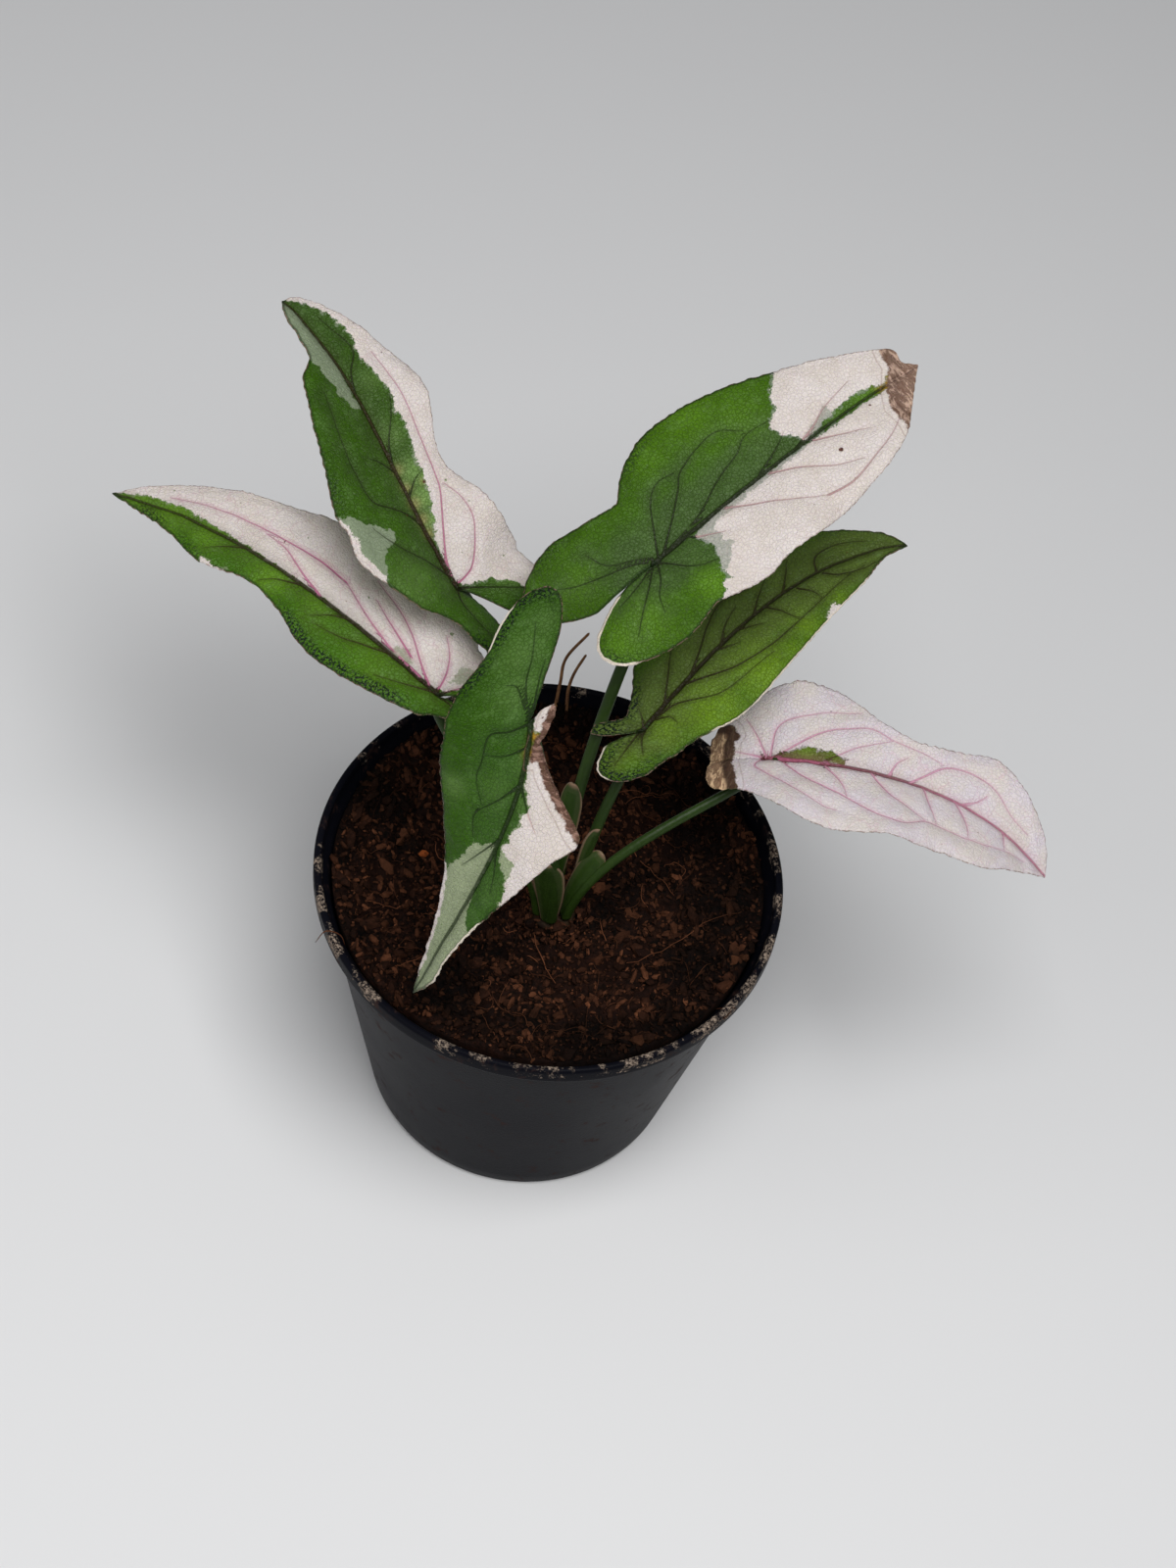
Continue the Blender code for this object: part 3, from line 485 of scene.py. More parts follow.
# %% Colour sectors, spots and veins
MARKS = {
    "back_left": dict(
        white=(
            ((0.3, 69.5), (1.5, 66.5), (2.8, 65.2), (2.9, 64), (4.4, 62), (5.1, 59.5), (5.9, 56.5),
             (6, 54), (5.2, 51.8), (5.1, 49.5), (6.2, 45.2), (6.4, 42.5), (6.7, 40.5), (5.7, 37.2),
             (6.3, 34.8), (5.9, 31), (5.2, 27.5), (5, 22.5), (4.2, 18.5), (2.7, 14.2), (1.6, 11.5),
             (0.7, 8), (0.5, 3), (0.7, 0.6), (2.3, -0.6), (4, -1.3), (6.2, -1.9), (7, -3.2),
             (8.8, -4.9), (9, -7.5), (11, -14), (22, -14), (22, 70)),
            ((-16.2, 20.5), (-15.7, 17.5), (-15.2, 15.5), (-16, 13.5), (-15.6, 11.5), (-14.2, 8.5),
             (-13.4, 8.4), (-15, 7), (-20, 8), (-20, 20.5)),
        ),
        sage=(
            ((-0.1, 70), (-0.2, 60), (-0.4, 50), (-0.8, 40.2), (-2.6, 40.8), (-3.5, 43), (-3.9, 46),
             (-4, 48.2), (-4.6, 49.2), (-5, 52.3), (-5.2, 54.2), (-9, 56), (-6, 70)),
            ((-14.2, 20.3), (-12.3, 18), (-9.8, 16.8), (-7.3, 14.6), (-7.9, 13.1), (-10.4, 12.5),
             (-12.4, 10.6), (-13.3, 8.5), (-16.5, 6), (-20, 10), (-20, 21), (-16.5, 21)),
        ),
        lime=((3.4, 24, 3.4, 0.9), (3, 19, 3, 1.0), (2.4, 14, 2.6, 0.9), (2.6, 33, 3, 0.4),
              (9, -3.5, 3, 0.4),
              (4.5, 45, 2.5, 0.3), (-10, 5, 5, 0.3)),
        veins=(
            ((0.4, 2.5), (1.2, 6), (2.9, 10), (5, 15), (6.9, 20), (7.5, 26), (7.9, 33), (8.4, 41),
             (7.8, 50)),
            ((0.6, 0.6), (2.8, 1), (5, 2), (7, 4.4), (8.7, 7.6), (10, 11.5), (9.7, 16), (8, 20)),
            ((0.5, 20.3), (2.8, 22.8), (4.8, 24)),
            ((0.3, 28), (1.6, 32), (4.3, 36.5), (6.4, 41)),
            ((0.2, 44), (1.6, 48), (4.6, 52), (3.7, 57), (2.9, 61)),
            ((-0.5, 26), (-2.6, 28.6), (-5, 30.1)),
            ((-0.3, 13.8), (-1.8, 16.5), (-5, 19.2), (-8.4, 21.8), (-9, 27), (-8.8, 34),
             (-6.5, 46)),
            ((-0.5, 3), (-3.6, 7.5), (-8.3, 12.6), (-11, 17)),
            ((0.6, -0.6), (4.5, -3.6), (8.5, -6.9), (11, -9)),
            ((-0.5, -0.5), (-3, -3), (-5, -8), (-6, -12)),
        ),
        spots=((4.4, 21.8, 0.35, "rust_and_shade"), (-2.5, 16.8, 0.25, "rust_and_shade"), (8.6, 20.3, 0.3, "green"),
               (10.7, 14.4, 0.25, "green"), (12.5, 0.4, 0.3, "green"), (4.6, 5.4, 0.2, "green"),
               (9.6, 49.2, 0.2, "rust_and_shade")),
        rib="dark", dry=(), pale_rim=(), amber_tone=(168, 158, 104),
        amber=((0.5, 12, 1.2, 0.6), (0.5, 15, 1.2, 0.7), (0.5, 18.5, 1.3, 0.7),
               (0.5, 22, 1.2, 0.6), (0.5, 26, 1.2, 0.5),
                                               (4.3, 22, 0.8, 0.35)),
        crimp=((-8, -13, 4, 0.7), (9, -13, 4, 0.6), (-15.5, 26, 5, 0.4)),
        blush=0.25,
    ),
    "left": dict(
        white=(
            ((0.2, 83), (0.8, 80), (1.7, 74), (1.8, 66), (1.3, 60), (0.6, 53), (0.4, 45), (0.3, 20),
             (0.3, 2), (1.5, -1), (4, -3.5), (9, -9), (22, -9), (22, 83)),
            ((-3.3, 73.2), (-3.2, 71), (-3.6, 69.3), (-6, 69), (-6, 73.5)),
            ((-6.8, 55.8), (-6.7, 50), (-9, 50), (-9, 55.8)),
        ),
        sage=(
            ((0.6, 13), (2.6, 12.2), (3.2, 10.4), (1.6, 8.6), (0.6, 9)),
            ((3.6, -0.2), (7.5, 0), (7.4, -3), (4, -3)),
        ),
        haze=(
            ((0.3, 13.4), (2.6, 12.4), (3.4, 10.4), (1.8, 8.2), (0.3, 8)),
            ((3.4, 0), (7.6, 0.2), (8, -4), (4, -4)),
        ),
        lime=((-2.5, 41, 4, 0.9), (1, 68, 5, 0.9), (1, 76, 4, 0.7), (-1.5, 58, 4, 0.6),
              (-4, 14, 5, 0.35), (-1, 30, 4, 0.4), (-3, 66, 3, 0.4)),
        veins=(
            ((0.4, 5), (0.8, 12), (2, 18), (4, 24), (5.8, 29), (6.2, 33.5)),
            ((0.3, 2.5), (2.6, 6.7), (6, 12), (8.6, 18), (10.3, 24.5)),
            ((0.4, 0.5), (4, 1.4), (7.5, 3.4), (10.3, 6.6)),
            ((2.3, 9), (5, 17), (7, 22)),
            ((5.8, 29), (6.3, 36), (6, 43), (5.6, 50), (4.6, 60), (3, 70)),
            ((0.3, 31), (2, 37), (4.4, 43), (5, 48)),
            ((-0.2, 24), (-2, 27), (-4.8, 30)),
            ((-0.1, 12.5), (-2.6, 18), (-4.4, 23), (-5.1, 27.5)),
            ((-0.3, 1), (-3, 6), (-6, 12)),
            ((-0.4, 36), (-2.5, 40.5), (-4.6, 43)),
            ((-0.2, 50), (-2, 53.5), (-4.5, 57)),
            ((-0.3, -0.6), (-2, -4), (-3.4, -8)),
            ((0.5, -0.5), (3, -2.6), (5, -5)),
        ),
        spots=((5.6, 44.2, 0.3, "rust_and_shade"), (11.3, 6.2, 0.42, "green"), (6.2, 23.5, 0.25, "green"),
               (9, 41, 0.25, "lime"), (4.8, 70, 0.2, "lime"), (-6.4, 16, 0.3, "sage")),
        rib="dark", dry=(), pale_rim=(),
        crimp=((-9, 10, 7, 1.0), (-10.5, 20, 7, 1.0), (-10, 30, 6, 0.9), (-6, 60, 6, 0.4),
               (-4, 72, 5, 0.7), (-6, -10, 4, 0.6)),
        blush=0.75,
    ),
    "back_right": dict(
        white=(
            ((0.9, 57.5), (0.9, 50), (1.2, 45), (1, 40), (0.8, 34), (0.6, 25), (0.5, 18), (0.7, 12),
             (1.5, 9), (3.3, 10.1), (5.4, 10.6), (7.9, 10.1), (9.7, 9), (11.1, 8.6), (12.9, 9),
             (12.4, 7.6), (13.1, 6.5), (14.4, 6.5), (15, 4.4), (24, 3), (24, 70), (1, 70)),
            ((-2, 60), (-1, 58), (-1.2, 55.5), (-2, 52.5), (-2.2, 50), (-1.8, 47), (-1.2, 44),
             (-0.6, 41), (-0.5, 38), (-2.1, 37.4), (-2.8, 36.6), (-3.5, 35.8), (-4.4, 34.8),
             (-5.8, 34.5), (-7.2, 35), (-8, 36), (-8.7, 37.5), (-10.2, 38), (-11.6, 38.3),
             (-12.9, 39.8), (-14.4, 41.2), (-15.2, 42), (-24, 42), (-24, 70), (-3, 70)),
        ),
        sage=(
            ((0.8, 17), (1.5, 12), (2, 9), (5, 10.4), (9, 10), (11, 9), (9.5, 11.5), (7, 13.5),
             (5.5, 12.5), (4, 13), (2.5, 15)),
            ((-0.9, 40.5), (-3.4, 45), (-2, 45.5), (-0.4, 42)),
            ((0.6, 40), (1.6, 33), (1.5, 24), (2.3, 17), (0.5, 12)),
        ),
        haze=(
            ((0.6, 18), (1.6, 15), (2.6, 13), (4, 13.2), (5.5, 12.3), (7.2, 13.8),
             (9.5, 11.6), (11, 9),
             (9, 6), (3, 6), (0.6, 8)),
            ((-1.2, 39), (-3.6, 45.5), (-1.8, 46), (-0.2, 42)),
            ((0.6, 40), (1.6, 33), (1.4, 24), (2.2, 17), (0.5, 12)),
        ),
        lime=((-19, 24, 7, 0.5), (-18, 13, 5, 0.35), (9, -9, 5, 0.55), (9, -15, 5, 0.5),
              (-12, 31, 6, 0.4),
              (-7, -13, 4, 0.35), (11.5, 5.5, 3.5, 0.8),
              (-1, 53, 5, 0.8), (-1, 46, 4, 0.5)),
        amber=((0, 58, 1.9, 1.0),),
        veins=(
            ((-0.3, 4), (-1.5, 12), (-4.8, 20), (-6.5, 26), (-8.4, 29.5), (-7.8, 35)),
            ((-0.5, 2.5), (-4, 7.5), (-8.3, 12.8), (-10.8, 15.3), (-12.5, 21), (-12.7, 26),
             (-9.5, 29.8)),
            ((-0.7, 1.2), (-4.5, 3.6), (-9.7, 7), (-12, 10.5), (-11.5, 15)),
            ((-0.8, 0.2), (-2.5, -2), (-5.5, -7), (-10, -8.6)),
            ((-0.6, -0.8), (-2.3, -3.5), (-4.5, -9), (-7, -14), (-9.5, -17)),
            ((-0.2, 26), (-2.5, 32.5), (-4, 35.5)),
            ((-0.3, 36), (-1.6, 41), (-3.4, 45), (-5, 52)),
            ((0.8, 0.6), (4, 3), (6.6, 5.6), (8.2, 9.2)),
            ((1.2, 8.5), (3, 11.5), (4.7, 14.2)),
            ((1, 0), (4, -1.5), (6.4, -3.7), (9.5, -5)),
            ((0.9, -1.2), (4, -4.5), (7.5, -9), (9.8, -12)),
            ((0.5, -1.5), (2, -6), (3, -11)),
            ((0.8, 17), (4.5, 22.5), (8.5, 28), (12, 34)),
            ((0.8, 28), (4, 33.5), (8, 39), (10.5, 44)),
            ((0.9, 39), (3.5, 44), (6, 49)),
            ((12, 34), (12.8, 40), (11.6, 46), (9.6, 52), (6.5, 57)),
        ),
        spots=((6.3, 41.7, 0.5, "rust_and_shade"), (2, 52.3, 0.3, "rust_and_shade"), (1.3, 39, 0.2, "rust_and_shade"),
               (10.5, 22, 0.2, "rust_and_shade"), (15.1, -5.5, 0.25, "rust_and_shade")),
        rib="dark",
        dry=(((-7.5, 61.5), (-6.6, 60.8), (-4.8, 60.3), (-2.8, 60.3), (-1.6, 59.3), (0.8, 57.3),
              (3.2, 55.9), (5.3, 54.8), (8.7, 55.1), (11.3, 54.6), (16, 56), (14, 68), (-8, 68)),),
        pale_rim=(((0, -9), (0, -24), (15, -24), (15, -15), (8, -17), (5, -9)),),
        crimp=((-21, 10, 6, 0.5), (-16, -14, 6, 0.4), (11, -19, 5, 0.5)),
        blush=0.2,
    ),
    "front": dict(
        white=(
            ((-0.9, 7), (-0.6, 9), (-1, 11.5), (-2.4, 14.5), (-3.5, 15.8), (-2.6, 17.5), (-3, 19.5),
             (-1.7, 21.5), (-2.2, 23.3), (-1.3, 25.3), (-3, 26), (-4.8, 26.2),
             (-5.4, 28.5), (-6, 31),
             (-6.8, 34), (-8.5, 36), (-20, 30), (-20, 0), (-4, 1)),
            ((1.2, 64), (1.6, 57), (2.6, 51), (3.9, 45), (5.6, 40), (7.4, 36),
             (8.6, 34.8), (14, 38),
             (8, 66)),
            ((-0.7, 1.6), (-0.6, -3.5), (-5, -5), (-5, 1.6)),
        ),
        sage=(
            ((-6, 68), (-6, 45), (-3.6, 43), (-1.5, 41), (-0.3, 38), (0, 32), (0.2, 25.5),
             (2.2, 26),
             (3.9, 27.2), (5, 29), (5.5, 32), (6.6, 34), (7.2, 36), (9, 37), (12, 50), (6, 68)),
            ((-1.2, 24.5), (-1.6, 27.2), (-3.4, 28.6), (-5.2, 29.4), (-6, 31), (-8, 31), (-6, 25)),
        ),
        lime=((-4, 33, 3, 0.3), (4, -6, 5, 0.6), (7, -13, 5, 0.55), (5, -19, 4, 0.4),
              (12.5, 17.5, 3, 0.8),
              (4, 15, 4, 0.3), (-1, 9, 3, 0.6), (-1.6, 15, 2.5, 0.5)),
        veins=(
            ((0.3, 12.5), (3, 16.5), (5.6, 19.7), (7, 22.5)),
            ((0.4, 5), (4.1, 7.4), (7.6, 8)),
            ((0.6, 0.4), (4, 2.2), (7.7, 3.5), (8.2, 9.5), (8.4, 14), (5.6, 19.7)),
            ((0.6, -0.5), (3, -3.5), (5.5, -6.6), (8, -6.8)),
            ((0.5, -1.2), (2.8, -4.6), (4.2, -8), (5, -12.6), (6.9, -18.7)),
            ((0.4, -2), (1.8, -8), (2.3, -12)),
            ((6.3, 20.2), (6.6, 22.5), (5.2, 26)),
            ((0.2, 24), (2.4, 28.5), (4.5, 33)),
            ((-0.2, 26), (-2, 30), (-3.6, 34)),
            ((-0.2, 12), (-2.6, 16), (-6, 19.5)),
        ),
        spots=((-2.5, 0, 0.25, "rust_and_shade"), (-1.9, -1, 0.2, "rust_and_shade"), (2, 47, 0.2, "green")),
        rib="green",
        dry=(((-14, 19.2), (-12.6, 18.6), (-11, 17.6), (-9, 15.9), (-7, 14.3), (-5, 12.4),
              (-3, 10.2), (-1.6, 7.8), (-1.1, 5), (-1.3, 3), (-4, 2), (-20, 10), (-20, 19.2)),
             ((-0.2, 9), (0.2, 5.5), (-0.3, 2.4), (-1.5, 1.2), (-1.5, -2), (-2.1, -5), (-8, -5),
              (-8, 5))),
        pale_rim=(((-2.4, 40), (-2.4, 70), (-8, 70), (-8, 40)),
                  ((12, -13), (12, -22), (16, -22), (16, -13))),
        crimp=((13.5, -18, 5, 1.0), (10, -25, 5, 1.0), (15, -8, 5, 0.8)),
        amber=((-0.9, 6, 1.3, 0.8), (-1, 2.6, 0.9, 0.9)), dry_inset=0.8, rim_width=0.2,
        blush=0.1,
    ),
    "right": dict(
        white=(
            ((9.2, 49.5), (8.6, 48), (9.2, 46.3), (10.1, 45), (12, 45), (12, 50)),
        ),
        sage=(),
        lime=((11.5, 25, 7, 1.0), (9.5, 12, 7, 1.0), (9.5, 40, 4, 0.8), (8.5, 50, 3, 0.7),
              (4, 3, 4, 0.7), (6, -7, 4, 0.4), (12, 33, 4, 0.7)),
        veins=(
            ((0.8, 51), (2.9, 54.2), (3.6, 60), (2, 66)),
            ((1, 44.5), (3.5, 46.5), (6, 47.3)),
            ((0.7, 36.8), (3, 38.2), (6, 39.5), (7.2, 41)),
            ((0.3, 29), (2.9, 33.6)),
            ((0.5, 23), (2.5, 27)),
            ((0.7, 13.5), (4, 19), (6.5, 25), (7.6, 32), (7.1, 40), (6, 47.3), (4.3, 54),
             (2.9, 60)),
            ((0.6, 4.5), (1.8, 8.5), (4.5, 12), (7.2, 16), (8.4, 23), (9, 30)),
            ((0.7, 3.4), (2.5, 5.5), (4.5, 5.4)),
            ((0.5, -0.3), (3, -2.2), (6, -4)),
            ((0.4, -1), (3.2, -5), (6, -9)),
            ((-0.2, 15), (-2.2, 20), (-5.3, 26.2), (-6.6, 31), (-5.5, 36), (-7, 42)),
            ((-0.3, 7), (-3.5, 12), (-6.3, 16), (-9, 21)),
            ((-0.1, 24), (-2.5, 28), (-3.8, 32)),
            ((0.2, 33), (-2.5, 37), (-5, 41)),
            ((0.3, 41), (-3, 44.5), (-5.5, 46.5)),
            ((0, 50), (-3.4, 52), (-4, 58), (-2.8, 63)),
            ((-0.3, 0.5), (-2, 2), (-4, 3.2)),
        ),
        spots=((-1.5, 58, 0.2, "rust_and_shade"), (7.5, 28, 0.2, "rust_and_shade")),
        rib="dusky", dry=(), rim_width=0.1,
        pale_rim=(((-1, -5), (-1, -10), (4, -14), (9, -13.5), (9, -11), (3, -8)),
                  ((6, 30), (6, 62), (20, 62), (20, 8), (10, 8))),
        crimp=((6, -12, 4, 1.0), (10, -10, 4, 1.0), (5, -6, 4, 1.0), (-5, -5, 5, 1.0),
               (-7, 2, 5, 0.9)),
        blush=0.1,
    ),
    "low_right": dict(
        white=(
            ((-30, -30), (30, -30), (30, 80), (-30, 80)),
        ),
        patch=(
            ((-0.3, 0.6), (-1.2, 2), (-2.2, 4.5), (-3.4, 7), (-3.2, 9.6), (-2.8, 12), (-3, 14.2),
             (-2, 15.5), (-1.8, 17), (-0.8, 16), (-0.2, 13), (0.4, 8), (1, 5), (0.5, 2)),
        ),
        sage=(((-4.5, 60), (-2, 61), (-1, 57), (-2.5, 53), (-3.5, 52), (-4, 57)),),
        lime=((-2.6, 8, 2.4, 1.0), (-2, 14, 2, 0.8)),
        veins=(
            ((-0.3, 1.5), (-2.8, 5), (-6.2, 9.6), (-7.8, 12.8), (-8.9, 16.4), (-9.5, 20),
             (-7.8, 25),
             (-7.1, 30.5), (-6.4, 34.6)),
            ((-0.4, 0.9), (-3, 1), (-6, 1.3), (-8, 2.6), (-9.2, 5), (-10.3, 8), (-11.6, 11.4),
             (-12.8, 17.5)),
            ((-0.5, 0), (-5, -2.4), (-8.9, -5)),
            ((-0.3, -1), (-1, -4), (-1.7, -6.4)),
            ((-0.8, 12), (-2.1, 14.1), (-4.8, 18.2), (-7.8, 24.6)),
            ((0, 29.6), (-2.8, 32.5), (-5.7, 35.3), (-7.1, 38.7), (-7.3, 43.2), (-6.4, 46.4),
             (-3.9, 51),
             (-3.2, 55.5)),
            ((-0.2, 41.2), (-2.3, 43.7), (-4.4, 44.9)),
            ((-0.6, 25.4), (-3.5, 26.4), (-5, 28)),
            ((0.6, 3.5), (2.6, 5.8), (4.7, 8.5), (7, 13.7), (8.8, 18.2), (10.2, 21.4), (12, 26),
             (11.8, 30.5),
             (9.3, 34.8), (8.6, 38.7), (7.9, 44.6), (6.5, 49.1), (3.8, 54.1), (2.2, 58.2)),
            ((0.6, 12.3), (4.7, 16), (8.6, 18)),
            ((0.6, 21.9), (5.4, 26.4), (7.5, 31), (9, 34.8)),
            ((0.4, 32.8), (4.7, 35), (8.4, 37.5)),
            ((0.5, 40), (4.7, 43.7), (7.8, 45.3)),
            ((0.4, 51.4), (3.6, 53.4)),
            ((0.2, -0.9), (2.5, -1.8), (4.3, 0), (6.5, 3.7), (9.3, 8.2), (11.5, 12.8), (12.2, 16)),
        ),
        # The three rust spots at the stalk's foot, near (-0.2, -0.4), (-0.8, -0.9) and (-1.4,
        # -1.3), are painted shadow: the dark gap where the stalk meets the blade.
        spots=((0.8, 17, 0.22, "rust_and_shade"), (1, 12.2, 0.3, "rust_and_shade"), (-12, 11.6, 0.22, "rust_and_shade"),
               (0.9, 1.8, 0.2, "rust_and_shade"), (-4.5, 25.4, 0.15, "rust_and_shade"), (-3.5, 32, 0.15, "rust_and_shade"),
               (5.5, 9.8, 0.15, "rust_and_shade"), (-0.2, -0.4, 0.3, "rust_and_shade"), (-0.8, -0.9, 0.32, "rust_and_shade"),
               (-1.4, -1.3, 0.22, "rust_and_shade")),
        rib="pink", teeth=((3, 15), (29, 43)),
        dry=(((-7.8, -7.6), (-6.8, -6.6), (-5, -5.8), (-3.5, -6.6), (-1, -6.6), (1, -6.8),
              (3, -5.9), (5.5, -5), (7.5, -4.3), (8.6, -4), (14, -5), (10, -14), (-10, -14)),),
        pale_rim=(), crimp=(),
        blush=1.0,
    ),
}
print("veins drawn:", sum(len(m["veins"]) for m in MARKS.values()))

# %% [markdown]
# ## Smooth lines through a few points
#
# An outline needs only a few points if a smooth curve runs through them. Each piece
# between two points is a cubic whose slopes come from its neighbours. A second
# helper reads points at even steps, so that the faces along a margin stay alike.


# %% Curve helpers
def smooth_curve(points, steps):
    knots = np.array(points, float)
    knots = np.vstack([2 * knots[0] - knots[1], knots, 2 * knots[-1] - knots[-2]])
    t = (np.arange(steps) / steps)[:, None]
    curve = []
    for a, b, c, d in zip(knots, knots[1:], knots[2:], knots[3:]):
        curve.append(
            0.5 * (2 * b + (c - a) * t + (2 * a - 5 * b + 4 * c - d) * t * t
                   + (3 * b - a - 3 * c + d) * t ** 3)
        )
    return np.vstack(curve + [knots[-2:-1]])


def even_points(curve, count):
    curve = np.array(curve, float)
    lengths = np.concatenate([[0.0], np.cumsum(np.linalg.norm(np.diff(curve, axis=0), axis=1))])
    wanted = np.linspace(0.0, lengths[-1], count + 1)
    return np.stack([np.interp(wanted, lengths, column) for column in curve.T], axis=1)


def leaf_outline(leaf, index):
    lines = [smooth_curve(leaf[part][index], 8) for part in ("main", "lobe", "sinus")]
    return np.vstack(lines)


print("outline of the front leaf has", len(leaf_outline(LEAVES["front"], 1)), "points a side")

# %% [markdown]
# ## A flat blade from two grids
#
# Each half of the blade is one grid. Its rows run from the midrib to the margin,
# first down the main blade and then round the rear lobe, between the notch and the
# outer edge. The two grids are welded along the midrib, and a solidify operator
# turns the sheet into a closed shell, which the bending later places in space.

# %% Grids for the two halves
BLADE_ROWS = 150
LOBE_ROWS = 44
COLUMNS = 34


def half_frame(leaf, index):
    rib = [(0.0, leaf["length"]), (0.0, 0.0)]
    notch = smooth_curve(leaf["sinus"][index][::-1], 8)
    inner = [even_points(rib, BLADE_ROWS), even_points(notch, LOBE_ROWS)[1:]]
    edge = smooth_curve(leaf["main"][index], 8)
    lobe = smooth_curve(leaf["lobe"][index], 8)
    outer = [even_points(edge, BLADE_ROWS), even_points(lobe, LOBE_ROWS)[1:]]
    return np.vstack(inner), np.vstack(outer)


def add_half(bm, leaf, index, side):
    inner, outer = half_frame(leaf, index)
    rows = BLADE_ROWS + LOBE_ROWS
    before = set(bm.faces)
    made = bmesh.ops.create_grid(bm, x_segments=COLUMNS, y_segments=rows, size=0.5)
    for vert in made["verts"]:
        share = vert.co.x + 0.5
        row = round((0.5 - vert.co.y) * rows)
        spot = inner[row] * (1 - share) + outer[row] * share
        vert.co = (side * spot[0], spot[1], 0.0)
    if side < 0:
        bmesh.ops.reverse_faces(bm, faces=[f for f in bm.faces if f not in before])


def flat_blade(leaf):
    bm = bmesh.new()
    add_half(bm, leaf, 0, -1)
    add_half(bm, leaf, 1, 1)
    bmesh.ops.remove_doubles(bm, verts=bm.verts, dist=1e-4)
    bmesh.ops.solidify(bm, geom=bm.faces[:], thickness=1.0)
    return bm


trial = flat_blade(LEAVES["front"])
print("flat shell:", len(trial.faces), "faces, heights",
      sorted({round(v.co.z, 2) for v in trial.verts}))
print("open edges:", sum(not e.is_manifold for e in trial.edges))
trial.free()

# %% [markdown]
# ## Bending the flat leaf
#
# Along the midrib the blade follows a heading and a pitch that change with the
# distance from the stalk. Across it, each half rises by its fold and then bends over
# by its curl, along a circle. Behind the stalk, the lobes bend down on a circle of
# their own. The function returns each point and the way its upper face looks.


# %% Bend a flat place into the pose
def rib_direction(leaf, forward):
    t = forward / leaf["length"]
    h0, h1, h2 = leaf["heading"]
    p0, p1 = leaf["pitch"]
    heading = np.radians(h0 + h1 * t + h2 * t * t)
    pitch = np.radians(p0 + p1 * t)
    return np.stack([np.cos(pitch) * np.cos(heading), np.cos(pitch) * np.sin(heading),
                     np.sin(pitch)], -1)


def rib_points(leaf):
    steps = rib_direction(leaf, np.arange(int(leaf["length"]) + 4) + 0.5)
    start = np.array([leaf["attach"]])
    return np.vstack([start, start + np.cumsum(steps, axis=0)])


def bend_leaf(leaf, across, forward):
    across = np.asarray(across, float)
    forward = np.asarray(forward, float)
    index = (across >= 0).astype(int)
    side = np.where(across < 0, -1.0, 1.0)[:, None]
    out = np.abs(across)[:, None]
    rib = rib_points(leaf)
    ahead = np.maximum(forward, 0.0)
    cell = np.minimum(ahead.astype(int), len(rib) - 2)
    place = rib[cell] + (rib[cell + 1] - rib[cell]) * (ahead - cell)[:, None]
    along = rib_direction(leaf, ahead)
    right = np.cross(along, (0.0, 0.0, 1.0))
    right /= np.linalg.norm(right, axis=1)[:, None]
    up = np.cross(right, along)
    back = np.maximum(-forward, 0.0)[:, None]
    bend = (np.radians(leaf["lobe_drop"])[index] / 20.0)[:, None]
    angle = bend * back
    place = place + right * back * math.tan(math.radians(leaf["lobe_turn"]))
    place = place - along * np.sin(angle) / bend - up * (1 - np.cos(angle)) / bend
    up = np.cos(angle) * up - np.sin(angle) * along
    rise = np.radians(leaf["fold"])[index][:, None]
    curve = (np.radians(leaf["curl"])[index] / 20.0)[:, None]
    tilt = rise + curve * out
    sideways = (np.sin(tilt) - np.sin(rise)) / curve
    height = (np.cos(rise) - np.cos(tilt)) / curve
    tall, length, phase = [column[:, None] for column in np.array(leaf["ripple"])[index].T]
    reach = np.clip(out / 16.0, 0.0, 1.4)
    wave = tall * reach ** 2 * np.sin(2 * math.pi * forward[:, None] / length + np.radians(phase))
    lean = tilt * np.clip(out / 0.7, 0.0, 1.0)
    normal = up * np.cos(tilt) - right * side * np.sin(tilt)
    soft_normal = up * np.cos(lean) - right * side * np.sin(lean)
    return place + right * side * sideways + up * height + normal * wave, soft_normal


tips = {name: bend_leaf(leaf, [0.0], [leaf["length"]])[0][0] for name, leaf in LEAVES.items()}
for name, tip in tips.items():
    print(name, "tip at", np.round(tip, 1), "mm")

# %% [markdown]
# ## Distances on the flat leaf
#
# Colour sectors, veins and the margin all work through one measure: how far a point
# of the blade is from a drawn line. A sector gives a distance that is positive
# inside. A vein gives the distance as a share of the vein's own half width, with a
# sign for its two sides, so that the line stays crisp between two mesh points.


# %% Measure distances to drawn lines
def line_distance(spots, line):
    a = line[:-1]
    ab = line[1:] - a
    gap = spots[:, None] - a
    share = np.clip((gap * ab).sum(-1) / np.maximum((ab ** 2).sum(-1), 1e-12), 0.0, 1.0)
    gap = gap - share[..., None] * ab
    far = np.sqrt((gap ** 2).sum(-1))
    nearest = far.argmin(1)
    rows = np.arange(len(spots))
    turn = np.sign(ab[nearest, 0] * gap[rows, nearest, 1] - ab[nearest, 1] * gap[rows, nearest, 0])
    progress = (nearest + share[rows, nearest]) / len(a)
    return far[rows, nearest], np.where(turn == 0, 1.0, turn), progress


